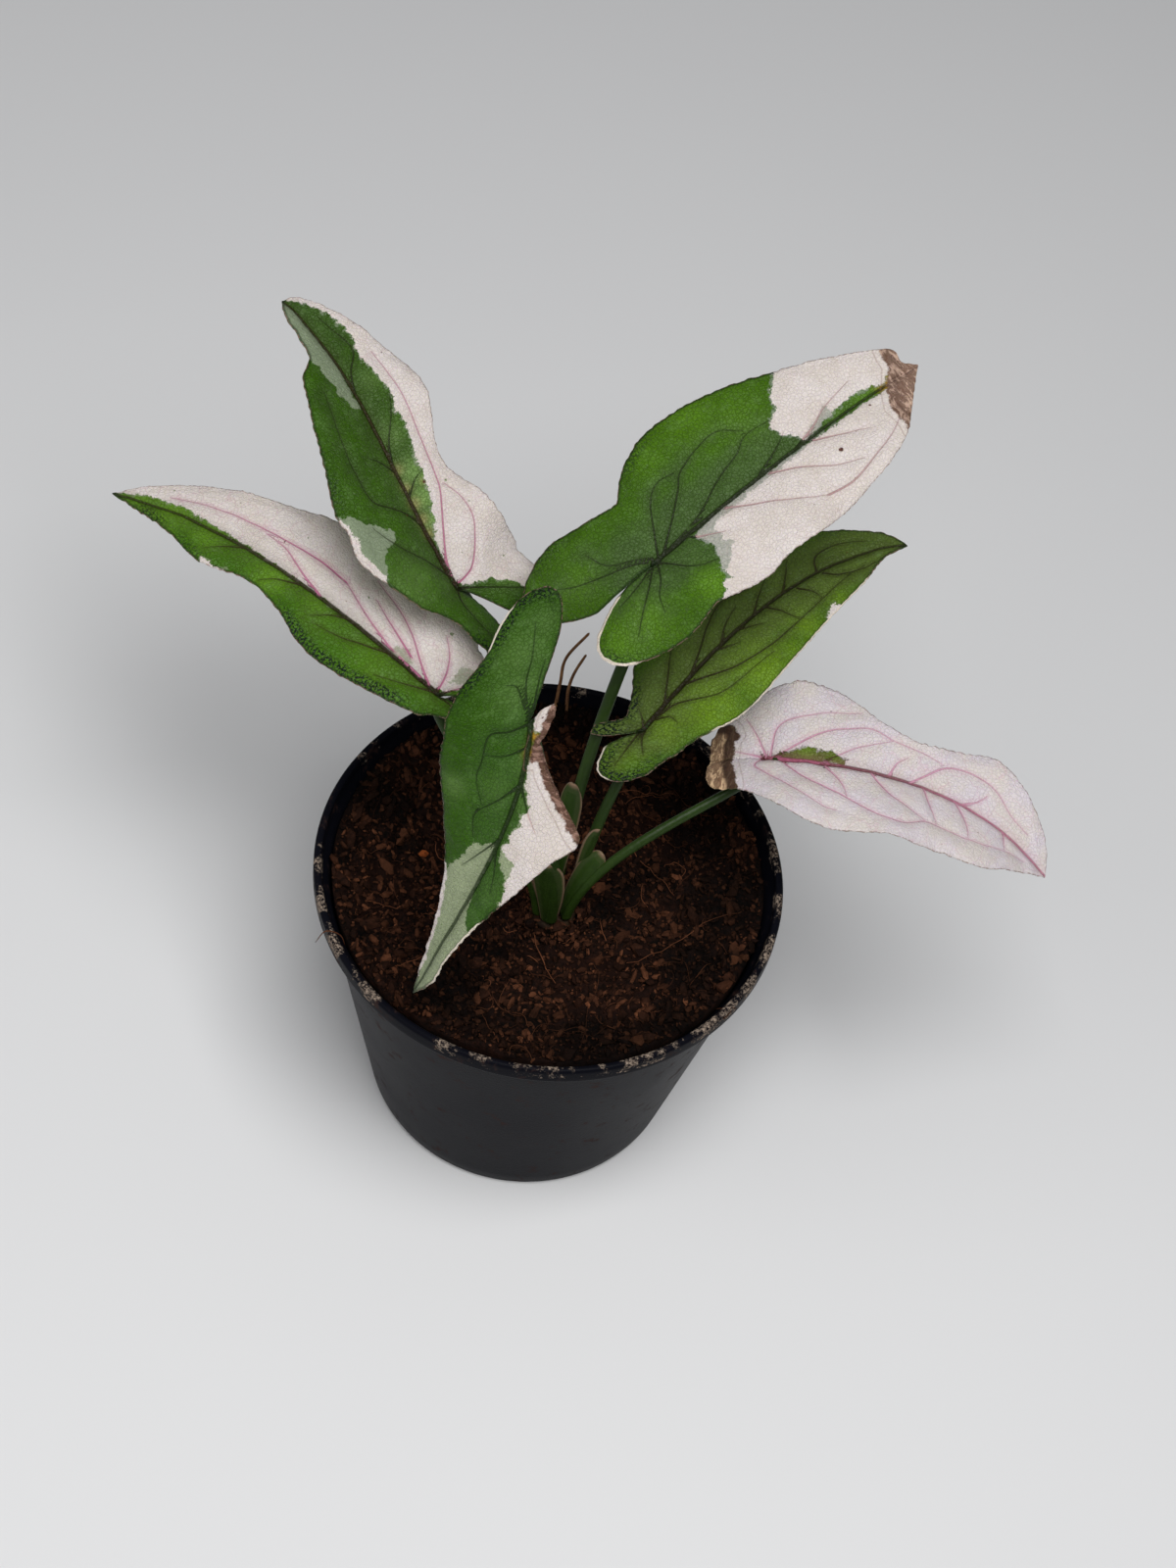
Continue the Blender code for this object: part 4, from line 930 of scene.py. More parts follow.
def sector_distance(spots, sectors):
    best = np.full(len(spots), -4.0)
    for sector in sectors:
        ring = np.array(sector + sector[:1], float)
        far = line_distance(spots, ring)[0]
        a, b = ring[:-1], ring[1:]
        above = (a[:, 1] > spots[:, None, 1]) != (b[:, 1] > spots[:, None, 1])
        run = np.where(b[:, 1] == a[:, 1], 1e-9, b[:, 1] - a[:, 1])
        cross = a[:, 0] + (spots[:, None, 1] - a[:, 1]) / run * (b[:, 0] - a[:, 0])
        inside = (above & (spots[:, None, 0] < cross)).sum(1) % 2 == 1
        best = np.maximum(best, np.where(inside, far, -far))
    return np.clip(best, -4.0, 4.0)


def margin_distance(leaf, spots):
    near = [line_distance(spots, leaf_outline(leaf, i) * (s, 1))[0] for i, s in ((0, -1), (1, 1))]
    return np.clip(np.minimum(*near), 0.0, 6.0)


RIB_WIDTH = 0.44
SIDE_VEIN_WIDTH = 0.17


def vein_measures(leaf, marks, spots):
    rib = np.array([(0.0, -0.6), (0.0, leaf["length"])])
    lines = [(rib, RIB_WIDTH)]
    for vein in marks["veins"]:
        lines.append((smooth_curve(vein, 6), SIDE_VEIN_WIDTH))
    signed = np.full(len(spots), 8.0)
    strength = np.zeros(len(spots))
    rib_mask = np.zeros(len(spots))
    side_gap = np.full(len(spots), 8.0)
    nearest_gap = np.full(len(spots), 8.0)
    for number, (line, width) in enumerate(lines):
        far, turn, progress = line_distance(spots, line)
        core = far if number == 0 else core
        narrow = width * (1.0 - 0.55 * progress)
        share = np.clip(far / narrow, 0.0, 8.0)
        closer = share < np.abs(signed)
        nearest_gap = np.where(closer, np.maximum(far - narrow, 0.0), nearest_gap)
        signed = np.where(closer, share * turn, signed)
        strength = np.where(closer, 1.0 - (0.25 if number == 0 else 0.5) * progress, strength)
        rib_mask = np.where(closer, 1.0 if number == 0 else 0.0, rib_mask)
        side_gap = np.minimum(side_gap, far)
    return dict(vein=signed, vein_gap=nearest_gap, vein_size=strength, rib=rib_mask, core=core,
                quilt=np.minimum(side_gap, 8.0))


print("distance helpers ready")

# %% [markdown]
# ## Tubes
#
# Stalks, roots and coir fibres are all bent tubes. A straight tube is a cone
# operator with equal ends, cut across into rings. Each ring is then moved to its
# place on a curve and turned at right angles to it.


# %% A straight tube and how it follows a curve
def straight_tube(sides, rings):
    bm = bmesh.new()
    bmesh.ops.create_cone(bm, cap_ends=True, segments=sides, radius1=1, radius2=1, depth=1)
    long_edges = [e for e in bm.edges if abs(e.verts[0].co.z - e.verts[1].co.z) > 0.5]
    bmesh.ops.subdivide_edges(bm, edges=long_edges, cuts=rings - 1, use_grid_fill=True)
    return bm


def tube_places(shape, centres, radii, lean=(0.0, 0.0, 1.0)):
    rings = len(centres) - 1
    ring = np.rint((shape[:, 2] + 0.5) * rings).astype(int)
    ahead = np.gradient(centres, axis=0)
    ahead /= np.linalg.norm(ahead, axis=1)[:, None]
    across = np.cross(ahead, lean)
    across /= np.maximum(np.linalg.norm(across, axis=1), 1e-6)[:, None]
    rise = np.cross(across, ahead)
    radius = np.asarray(radii)[ring][:, None]
    return centres[ring] + radius * (shape[:, :1] * across[ring] + shape[:, 1:2] * rise[ring])


def mesh_coords(mesh):
    flat = np.empty(len(mesh.vertices) * 3)
    mesh.vertices.foreach_get("co", flat)
    return flat.reshape(-1, 3)


def finish_mesh(name, bm, smooth=True):
    mesh = bpy.data.meshes.new(name)
    bm.to_mesh(mesh)
    bm.free()
    mesh.polygons.foreach_set("use_smooth", [smooth] * len(mesh.polygons))
    piece = bpy.data.objects.new(name, mesh)
    bpy.context.scene.collection.objects.link(piece)
    return piece


def set_value(mesh, name, values, kind="FLOAT"):
    layer = mesh.attributes.new(name, kind, "POINT")
    flat = np.asarray(values, np.float32).ravel()
    layer.data.foreach_set("value" if kind == "FLOAT" else "vector", flat)


trial = straight_tube(8, 5)
print("a tube of 5 rings has", len(trial.faces), "faces")
trial.free()

# %% [markdown]
# ## Stalks and sheaths
#
# An arrowhead plant carries each leaf on a long stalk. Its lower part is a sheath: a
# thin sheet that wraps the next stalk and ends in a small rounded hood with a pale
# edge. The stalk's line is a curve with four handles, from the crown to the blade.
# The sheath is a second small grid, wrapped round the stalk on one side.

# %% The line of a stalk and its section
CROWN = np.array([2.0, -9.0, 75.0])
STALK_RING = 3.4
STALK_FOOT_RADIUS = 1.3
STALK_HEAD_RADIUS = 1.15
STALK_SEAT = 1.9
STALK_SIDES = 18
STALK_RINGS = 90
SHEATH_THICK = 0.3

# Share of the stalk where each sheath starts and stops, its half width, the compass
# angle and tilt it faces, its stand-off at foot and tip, its shift at foot and tip,
# and how far its sides bend back, in mm and degrees
SHEATHS = {
    "back_left": (0.01, 0.30, 1.7, 60.0, 0.0, 0.7, 1.3, 0.0, 0.0, 1.2),
    "left": (0.01, 0.26, 1.7, 200.0, 0.0, 0.7, 1.3, 0.0, 0.0, 1.2),
    "back_right": (0.04, 0.24, 2.5, 250.0, 25.0, 0.9, 1.5, 0.2, 1.2, 1.0),
    "front": (0.00, 0.24, 3.4, 262.0, 15.0, 0.9, 1.8, 0.6, 1.4, 1.5),
    "right": (0.02, 0.34, 1.6, 310.0, 10.0, 0.9, 1.4, 0.0, 0.4, 1.2),
    "low_right": (0.01, 0.28, 2.6, 262.0, 40.0, 0.9, 1.6, 0.4, 2.6, 1.4),
}


def stalk_line(leaf, t):
    spot, normal = bend_leaf(leaf, [0.0], [STALK_SEAT])
    head, normal = spot[0], normal[0]
    along = rib_direction(leaf, STALK_SEAT)
    right = np.cross(along, (0.0, 0.0, 1.0))
    right /= np.linalg.norm(right)
    angle = math.radians(leaf["foot"])
    out = np.array([math.cos(angle), math.sin(angle), 0.0])
    foot = CROWN + out * STALK_RING
    first = foot + (out * 0.12 + (0.0, 0.0, 1.0)) * leaf["rise"]
    lift, lean, aside = leaf["arrive"]
    arrive = normal * lift + along * lean + right * aside
    last = head - arrive / np.linalg.norm(arrive) * leaf["reach"]
    t = np.asarray(t, float)[:, None]
    s = 1 - t
    centre = foot * s ** 3 + first * (3 * s * s * t) + last * (3 * s * t * t) + head * t ** 3
    ahead = (first - foot) * s * s + (last - first) * (2 * s * t) + (head - last) * t * t
    ahead /= np.linalg.norm(ahead, axis=1)[:, None]
    ahead[t[:, 0] == 0] = (0.0, 0.0, 1.0)
    outward = out - ahead * (ahead @ out)[:, None]
    outward /= np.linalg.norm(outward, axis=1)[:, None]
    return centre, outward, np.cross(ahead, outward), ahead


def stalk_radius(t):
    swell = 0.25 * np.exp(-((1 - t) / 0.05) ** 2)
    return STALK_FOOT_RADIUS + (STALK_HEAD_RADIUS - STALK_FOOT_RADIUS) * t - swell


def place_stalk(leaf, shape):
    t = np.clip(shape[:, 2] + 0.5, 0.0, 1.0)
    centre, outward, across, _ = stalk_line(leaf, t)
    radius = stalk_radius(t)[:, None]
    hollow = np.where(shape[:, 1] < 0, 0.74, 0.92)[:, None]
    places = centre + radius * (shape[:, :1] * across + shape[:, 1:2] * hollow * outward)
    top = t > 0.999
    along = rib_direction(leaf, STALK_SEAT)
    right = np.cross(along, (0.0, 0.0, 1.0))
    right /= np.linalg.norm(right)
    offset = places[top] - centre[top]
    places[top] = bend_leaf(leaf, offset @ right, STALK_SEAT + offset @ along)[0]
    return places


def place_sheath(leaf, name, u, v, under):
    start, stop, width, compass, tilt, near, far, shift_near, shift_far, bend = SHEATHS[name]
    t = start + (stop - start) * v
    centre, _, _, ahead = stalk_line(leaf, t)
    a, b = math.radians(compass), math.radians(tilt)
    facing = np.array([math.cos(a) * math.cos(b), math.sin(a) * math.cos(b), math.sin(b)])
    facing = facing - ahead * (ahead @ facing)[:, None]
    facing /= np.linalg.norm(facing, axis=1)[:, None]
    beside = np.cross(facing, ahead)
    hood = np.sqrt(np.clip(1.02 - np.clip((v - 0.7) / 0.3, 0, 1) ** 2, 0.0, 1.0))
    swell = 0.45 + 0.55 * np.sin(math.pi / 2 * np.clip(v / 0.75, 0, 1))
    spread = u * width * swell * hood
    stand = near + (far - near) * v ** 2 - bend * u ** 2 * swell * hood
    stand = stand - np.where(under, SHEATH_THICK, 0.0)
    shift = shift_near + (shift_far - shift_near) * v ** 1.3
    return centre + facing * stand[:, None] + beside * (spread + shift)[:, None]


print("stalk of the back right leaf is", round(float(np.linalg.norm(
    np.diff(stalk_line(LEAVES["back_right"], np.linspace(0, 1, 60))[0], axis=0), axis=1).sum())),
    "mm long")

# %% [markdown]
# ## Relief of a blade
#
# A leaf is not a smooth sheet. The midrib is a groove above and a ridge below, the
# side veins pull the surface down between them, and the margin crimps. The blade
# also thins from the midrib to its margin. Dry ends wrinkle. The function gives how
# far each point stands off the middle of the sheet, upper and lower face alike.


# %% Stand-off of the two faces of a blade
def smooth_noise(points, scale, offset=0.0):
    return np.array([noise.noise(Vector((x * scale + offset, y * scale, offset)))
                     for x, y in points])


def relief(leaf, spots, under, quilt, margin, dry):
    rib = np.array([(0.0, -0.5), (0.0, leaf["length"])])
    far, _, progress = line_distance(spots, rib)
    thick = 0.18 + 0.26 * np.clip(margin / 2.5, 0.0, 1.0)
    middle = 0.28 * (1.0 - np.exp(-(quilt / 1.1) ** 2)) * np.clip(margin / 2.0, 0.0, 1.0)
    middle += 0.36 * smooth_noise(spots, 0.13, 3.0) + 0.22 * smooth_noise(spots, 0.30, 9.0)
    middle += 0.34 * smooth_noise(spots, 0.42, 5.0) * np.exp(-margin / 1.3)
    middle += 0.26 * smooth_noise(spots, 0.95, 2.0) * np.exp(-margin / 0.6)
    middle += 0.30 * smooth_noise(spots, 0.8, 7.0) * np.clip(dry + 0.6, 0.0, 1.0)
    middle += 0.22 * np.sin(np.clip(dry, 0.0, 3.0) * math.pi / 2)
    groove = 0.16 * (1.0 - 0.6 * progress) * np.exp(-(far / 0.55) ** 2)
    ridge = 0.62 * (1.0 - 0.65 * progress) * np.exp(-(far / 0.6) ** 2)
    return middle + np.where(under, -thick / 2 - ridge, thick / 2 - groove)


print("relief ready")

# %% [markdown]
# ## The six leaves
#
# Blade, stalk and sheath grew as one, so they share one mesh with two finishes. The
# parts are joined while still flat or straight, and one pass then places all of
# them. Each point also keeps the measures that its colour needs: its flat place,
# the distances to sectors, veins and margin, and how far up the stalk it sits.


# %% Build the leaves
def flat_sheath():
    bm = bmesh.new()
    bmesh.ops.create_grid(bm, x_segments=16, y_segments=56, size=0.5)
    bmesh.ops.solidify(bm, geom=bm.faces[:], thickness=1.0)
    return bm


def spot_amount(spots, marks, kinds):
    best = np.full(len(spots), -2.0)
    for x, y, radius, kind in marks["spots"]:
        if kind in kinds:
            best = np.maximum(best, radius - np.hypot(spots[:, 0] - x, spots[:, 1] - y))
    return np.clip(best, -2.0, 2.0)


def soft_amount(spots, clouds):
    total = np.zeros(len(spots))
    for x, y, radius, strength in clouds:
        gap = np.hypot(spots[:, 0] - x, spots[:, 1] - y)
        total = np.maximum(total, strength * np.exp(-((gap / radius) ** 2)))
    return total


def join_flat_parts(leaf):
    bm = flat_blade(leaf)
    ends = [(len(bm.verts), len(bm.faces))]
    for extra in (straight_tube(STALK_SIDES, STALK_RINGS), flat_sheath()):
        mesh = bpy.data.meshes.new("flat_part")
        extra.to_mesh(mesh)
        extra.free()
        bm.from_mesh(mesh)
        bpy.data.meshes.remove(mesh)
        ends.append((len(bm.verts), len(bm.faces)))
    return bm, ends


def build_leaf(name, leaf, marks):
    bm, ends = join_flat_parts(leaf)
    piece = finish_mesh(name + "_leaf", bm)
    mesh = piece.data
    coords = mesh_coords(mesh)
    blade, stalk = ends[0][0], ends[1][0]
    spots = coords[:blade, :2].copy()
    under = coords[:blade, 2] < coords[:blade, 2].mean()
    measures = vein_measures(leaf, marks, spots)
    quilt = measures["quilt"]
    margin = margin_distance(leaf, spots)
    dry = sector_distance(spots, marks["dry"]) - marks.get("dry_inset", 0.0)
    white = sector_distance(spots, marks["white"])
    pale_rim = np.clip(sector_distance(spots, marks["pale_rim"]) + 0.5, 0.0, 1.0)
    white = np.minimum(white, -sector_distance(spots, marks.get("patch", ())))
    haze = sector_distance(spots, marks.get("haze", ()))
    nibble = 0.26 * smooth_noise(spots, 0.9, 11.0)
    for low, high in marks.get("teeth", ()):
        inside = (np.clip(np.minimum(spots[:, 1] - low, high - spots[:, 1]), 0.0, 1.0)
                  * (spots[:, 0] < 0))
        nibble += 0.34 * inside * np.abs(np.sin(spots[:, 1] * 1.9))
    outward = np.stack([spots[:, 0], np.minimum(spots[:, 1], 0.0)], axis=1)
    outward /= np.maximum(np.hypot(*outward.T), 1.6)[:, None]
    edge_spots = spots + outward * (nibble * np.exp(-margin / 0.7))[:, None]
    place, normal = bend_leaf(leaf, edge_spots[:, 0], edge_spots[:, 1])
    lift = relief(leaf, spots, under, quilt, margin, dry)
    sheath = coords[stalk:]
    below = sheath[:, 2] < sheath[:, 2].mean()
    u, v = np.clip(sheath[:, 0] * 2, -1, 1), np.clip(sheath[:, 1] + 0.5, 0, 1)
    placed = np.vstack([
        place + normal * lift[:, None],
        place_stalk(leaf, coords[blade:stalk]),
        place_sheath(leaf, name, u, v, below),
    ])
    placed = np.clip(placed, np.array(CAD_BOX[0]) / MM, np.array(CAD_BOX[1]) / MM)
    mesh.vertices.foreach_set("co", (placed * MM).ravel())
    start, stop = SHEATHS[name][:2]
    along = np.concatenate([np.ones(blade), coords[blade:stalk, 2] + 0.5,
                            start + (stop - start) * v])
    rim = np.concatenate([np.zeros(stalk),
                          np.maximum(np.abs(u) ** 6, np.clip((v - 0.9) / 0.1, 0, 1))])
    values = dict(measures, white=white, haze=haze, dry=dry, margin=margin,
                  under=under.astype(float),
                  sage=sector_distance(spots, marks["sage"]),
                  lime=soft_amount(spots, marks["lime"]),
                  crimp=soft_amount(spots, marks["crimp"]), pale_rim=pale_rim,
                  amber=soft_amount(spots, marks.get("amber", ())),
                  rust_and_shade=spot_amount(spots, marks, ("rust_and_shade",)),
                  dots=spot_amount(spots, marks, ("green", "lime", "sage")))
    for label, column in values.items():
        set_value(mesh, label, np.concatenate([column, np.zeros(len(coords) - blade)]))
    set_value(mesh, "along", along)
    set_value(mesh, "pale", rim)
    flat = np.zeros((len(coords), 3))
    flat[:blade, :2] = spots
    set_value(mesh, "flat", flat, "FLOAT_VECTOR")
    finish = np.zeros(len(mesh.polygons), np.int32)
    finish[ends[0][1]:] = 1
    mesh.polygons.foreach_set("material_index", finish)
    mesh.update()
    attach(piece, "root")
    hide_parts("leaf_" + name)
    return piece


leaf_pieces = {name: build_leaf(name, LEAVES[name], MARKS[name]) for name in LEAVES}
for piece in leaf_pieces.values():
    print(piece.name, len(piece.data.polygons), "faces")

# %% [markdown]
# ## The finish of a blade
#
# The colour is built from the ground up: green with lime and dark clouds, sage over
# it, cream white over both, then veins, specks, margin and dry ends. Every border
# goes through the ragged group, so no two are alike. The leaf is waxy: its sheen
# comes from a middling roughness and from pale patches of painted sheen on the
# green, and light passes a little way through its tissue. Dry ends carry painted
# shade in their creases and painted shadow near their border, a few rust spots at
# the foot of one leaf are painted shadow, and the stalks carry painted shade in
# their darker green.

# %% Leaf colours and the blade material
# In husk, the last number is how strongly painted shadow darkens a dry part near its border with
# live tissue.
LEAF_COLOURS = {
    "back_left": dict(inner=(54, 82, 24), outer=(52, 88, 5), lime=(116, 148, 78),
                      sage=(130, 142, 116),
                      rib=(46, 34, 20), vein=(34, 40, 16), pink=(172, 100, 128), core=5.0,
                      husk=((92, 66, 56), (178, 146, 124), 0.2)),
    "left": dict(inner=(70, 106, 22), outer=(60, 102, 6), lime=(98, 140, 32), sage=(134, 144, 112),
                 rib=(42, 34, 18), vein=(50, 42, 20), pink=(176, 102, 134), core=3.5,
                 husk=((92, 66, 56), (178, 146, 124), 0.2)),
    "back_right": dict(inner=(62, 88, 36), outer=(58, 94, 4), lime=(92, 136, 22),
                       sage=(130, 138, 124),
                       rib=(32, 38, 20), vein=(34, 42, 20), pink=(172, 138, 138), core=8.5,
                       husk=((112, 84, 70), (196, 166, 148), 0.25)),
    "front": dict(inner=(54, 88, 26), outer=(44, 80, 1), lime=(90, 122, 58), sage=(148, 158, 126),
                  rib=(32, 46, 20), vein=(28, 44, 16), pink=(196, 160, 156), core=5.5,
                  husk=((84, 58, 46), (160, 126, 112), 0.2)),
    "right": dict(inner=(82, 102, 40), outer=(58, 94, 4), lime=(104, 138, 26), sage=(96, 112, 70),
                  rib=(36, 30, 16), vein=(44, 40, 18), pink=(150, 110, 100), core=7.5,
                  husk=((92, 66, 56), (178, 146, 124), 0.2)),
    "low_right": dict(inner=(82, 90, 30), outer=(96, 124, 36), lime=(104, 130, 38),
                      sage=(178, 166, 176), rib=(160, 88, 112), vein=(76, 60, 34),
                      pink=(200, 146, 168),
                      core=5.0, husk=((122, 92, 70), (216, 182, 146), 0.9)),
}
CREAM = (213, 204, 200)
WARM_CREAM = (207, 197, 190)
COOL_WHITE = (213, 204, 209)


def wavy(tree, flat, scale, amount):
    swirl = add_node(tree, "TexNoise", {"Vector": flat, "Scale": scale,
                                        "Detail": 1.0}).outputs["Color"]
    moved = add_node(tree, "VectorMath", {0: swirl, 1: (amount,) * 3, 2: flat},
                     operation="MULTIPLY_ADD")
    return moved.outputs[0]


def sector_colours(tree, flat, colours, marks):
    cloud = grain(tree, flat, 0.16, 3.0, 0.55)
    mottle = grain(tree, flat, 1.1, 3.0, 0.65)
    reach = colours["core"] + 2.5
    beside = plus(tree, mesh_value(tree, "quilt"), reach - 4.0)
    depth = maths(tree, "MINIMUM", mesh_value(tree, "core"), beside)
    depth = plus(tree, depth, times(tree, cloud, 5.0))
    base = blend(tree, fade(tree, depth, reach - 2.5, reach + 2.5), tint(colours["inner"]),
                 tint(colours["outer"]))
    base = blend(tree, 1.0, base, blend(tree, cloud, (0.70, 0.72, 0.70), (1.30, 1.28, 1.30)),
                 "MULTIPLY")
    lime = times(tree, mesh_value(tree, "lime"), plus(tree, mottle, 0.4), clamp=True)
    base = blend(tree, lime, base, tint(colours["lime"]))
    base = blend(tree, mesh_value(tree, "amber"), base,
                 tint(marks.get("amber_tone", (188, 142, 42))))
    cells = add_node(tree, "TexVoronoi", {"Vector": wavy(tree, flat, 1.0, 0.8), "Scale": 1.3},
                     feature="DISTANCE_TO_EDGE")
    mesh_lines = fade(tree, cells.outputs["Distance"], 0.13, 0.0)
    base = blend(tree, times(tree, mesh_lines, 0.3), base, tint(colours["vein"]))
    # Painted sheen: soft patches of pale green over the leaf's green stand in for the sheen of its
    # wax.
    film = fade(tree, grain(tree, flat, 0.34, 3.0, 0.6), 0.52, 0.72)
    base = blend(tree, times(tree, film, 0.16), base, tint((112, 146, 84)))
    band = times(tree, fade(tree, mesh_value(tree, "margin"), 3.2, 1.4), 1.5)
    dots = times(tree, mesh_value(tree, "crimp"), band)
    dots = times(tree, dots, fade(tree, grain(tree, flat, 1.9, 2.0, 0.6), 0.48, 0.53), clamp=True)
    base = blend(tree, dots, base, tint((12, 28, 10)))
    sage = use_group(tree, RAGGED, {"Distance": mesh_value(tree, "sage"), "Place": flat,
                                    "Ragged": 1.3,
                                    "Soft": 0.16})["Mask"]
    sage = times(tree, sage, plus(tree, times(tree, mottle, 0.5), 0.68), clamp=True)
    base = blend(tree, sage, base, tint(colours["sage"]))
    white = mesh_value(tree, "white")
    near = use_group(tree, RAGGED, {"Distance": plus(tree, white, 0.35), "Place": flat,
                                    "Ragged": 2.1, "Soft": 0.12})["Mask"]
    base = blend(tree, times(tree, near, 0.6), base, tint(colours["sage"]))
    solid = use_group(tree, RAGGED, {"Distance": white, "Place": flat, "Ragged": 1.3,
                                     "Soft": 0.1})["Mask"]
    warm = tint(COOL_WHITE if marks["blush"] > 0.9 else WARM_CREAM)
    cream = blend(tree, fade(tree, cloud, 0.35, 0.65), tint(CREAM), warm)
    flecks = use_group(tree, SPECKS, {"Place": flat, "Scale": 0.42, "Size": 0.06,
                                      "Share": 0.35})["Mask"]
    cream = blend(tree, times(tree, flecks, 0.7), cream, tint((120, 104, 84)))
    veil = use_group(tree, RAGGED, {"Distance": mesh_value(tree, "haze"), "Place": flat,
                                    "Ragged": 1.4,
                                    "Soft": 0.22})["Mask"]
    veil = times(tree, veil, plus(tree, times(tree, mottle, 0.7), 0.3), clamp=True)
    cream = blend(tree, veil, cream, tint(colours["sage"]))
    return blend(tree, solid, base, cream), solid, mottle, mesh_lines


def add_veins(tree, flat, base, solid, colours, marks):
    # The signed measure keeps a line thin, and the plain gap hides false lines
    share = maths(tree, "ABSOLUTE", mesh_value(tree, "vein"))
    gap = mesh_value(tree, "vein_gap")
    size = mesh_value(tree, "vein_size")
    rib = mesh_value(tree, "rib")
    line = times(tree, fade(tree, share, 1.6, 0.8), fade(tree, gap, 0.46, 0.30))
    line = times(tree, line, size, clamp=True)
    on_green = blend(tree, rib, tint(colours["vein"]), tint(colours["rib"]))
    rib_on_white = tint(colours["rib"])
    if marks["rib"] == "pink":
        up_rib = add_node(tree, "SeparateXYZ", {0: flat}).outputs[1]
        rib_on_white = blend(tree, fade(tree, up_rib, 24.0, 46.0), tint((112, 56, 66)),
                             tint((172, 96, 122)))
    on_white = blend(tree, rib, tint(colours["pink"]), rib_on_white)
    colour = blend(tree, solid, on_green, on_white)
    # Finer veins, a net of cells stretched along the side veins
    net = add_node(tree, "TexVoronoi", {"Vector": wavy(tree, flat, 0.35, 2.6), "Scale": 0.24},
                   feature="DISTANCE_TO_EDGE")
    net_line = times(tree, fade(tree, net.outputs["Distance"], 0.035, 0.0),
                     0.12 + 0.12 * marks["blush"])
    base = blend(tree, net_line, base,
                 blend(tree, solid, tint(colours["vein"]), tint(colours["pink"])))
    glow = times(tree, fade(tree, gap, 2.4, 0.1), size, clamp=True)
    on_leaf = 0.32 if marks["rib"] == "dusky" else 0.2
    strength = blend(tree, solid, (on_leaf,) * 3,
                     (0.06 + (0.3 if marks["rib"] == "dark" else 0.16) * marks["blush"],) * 3)
    base = blend(tree, times(tree, glow, strength), base, colour)
    return blend(tree, line, base, colour), line


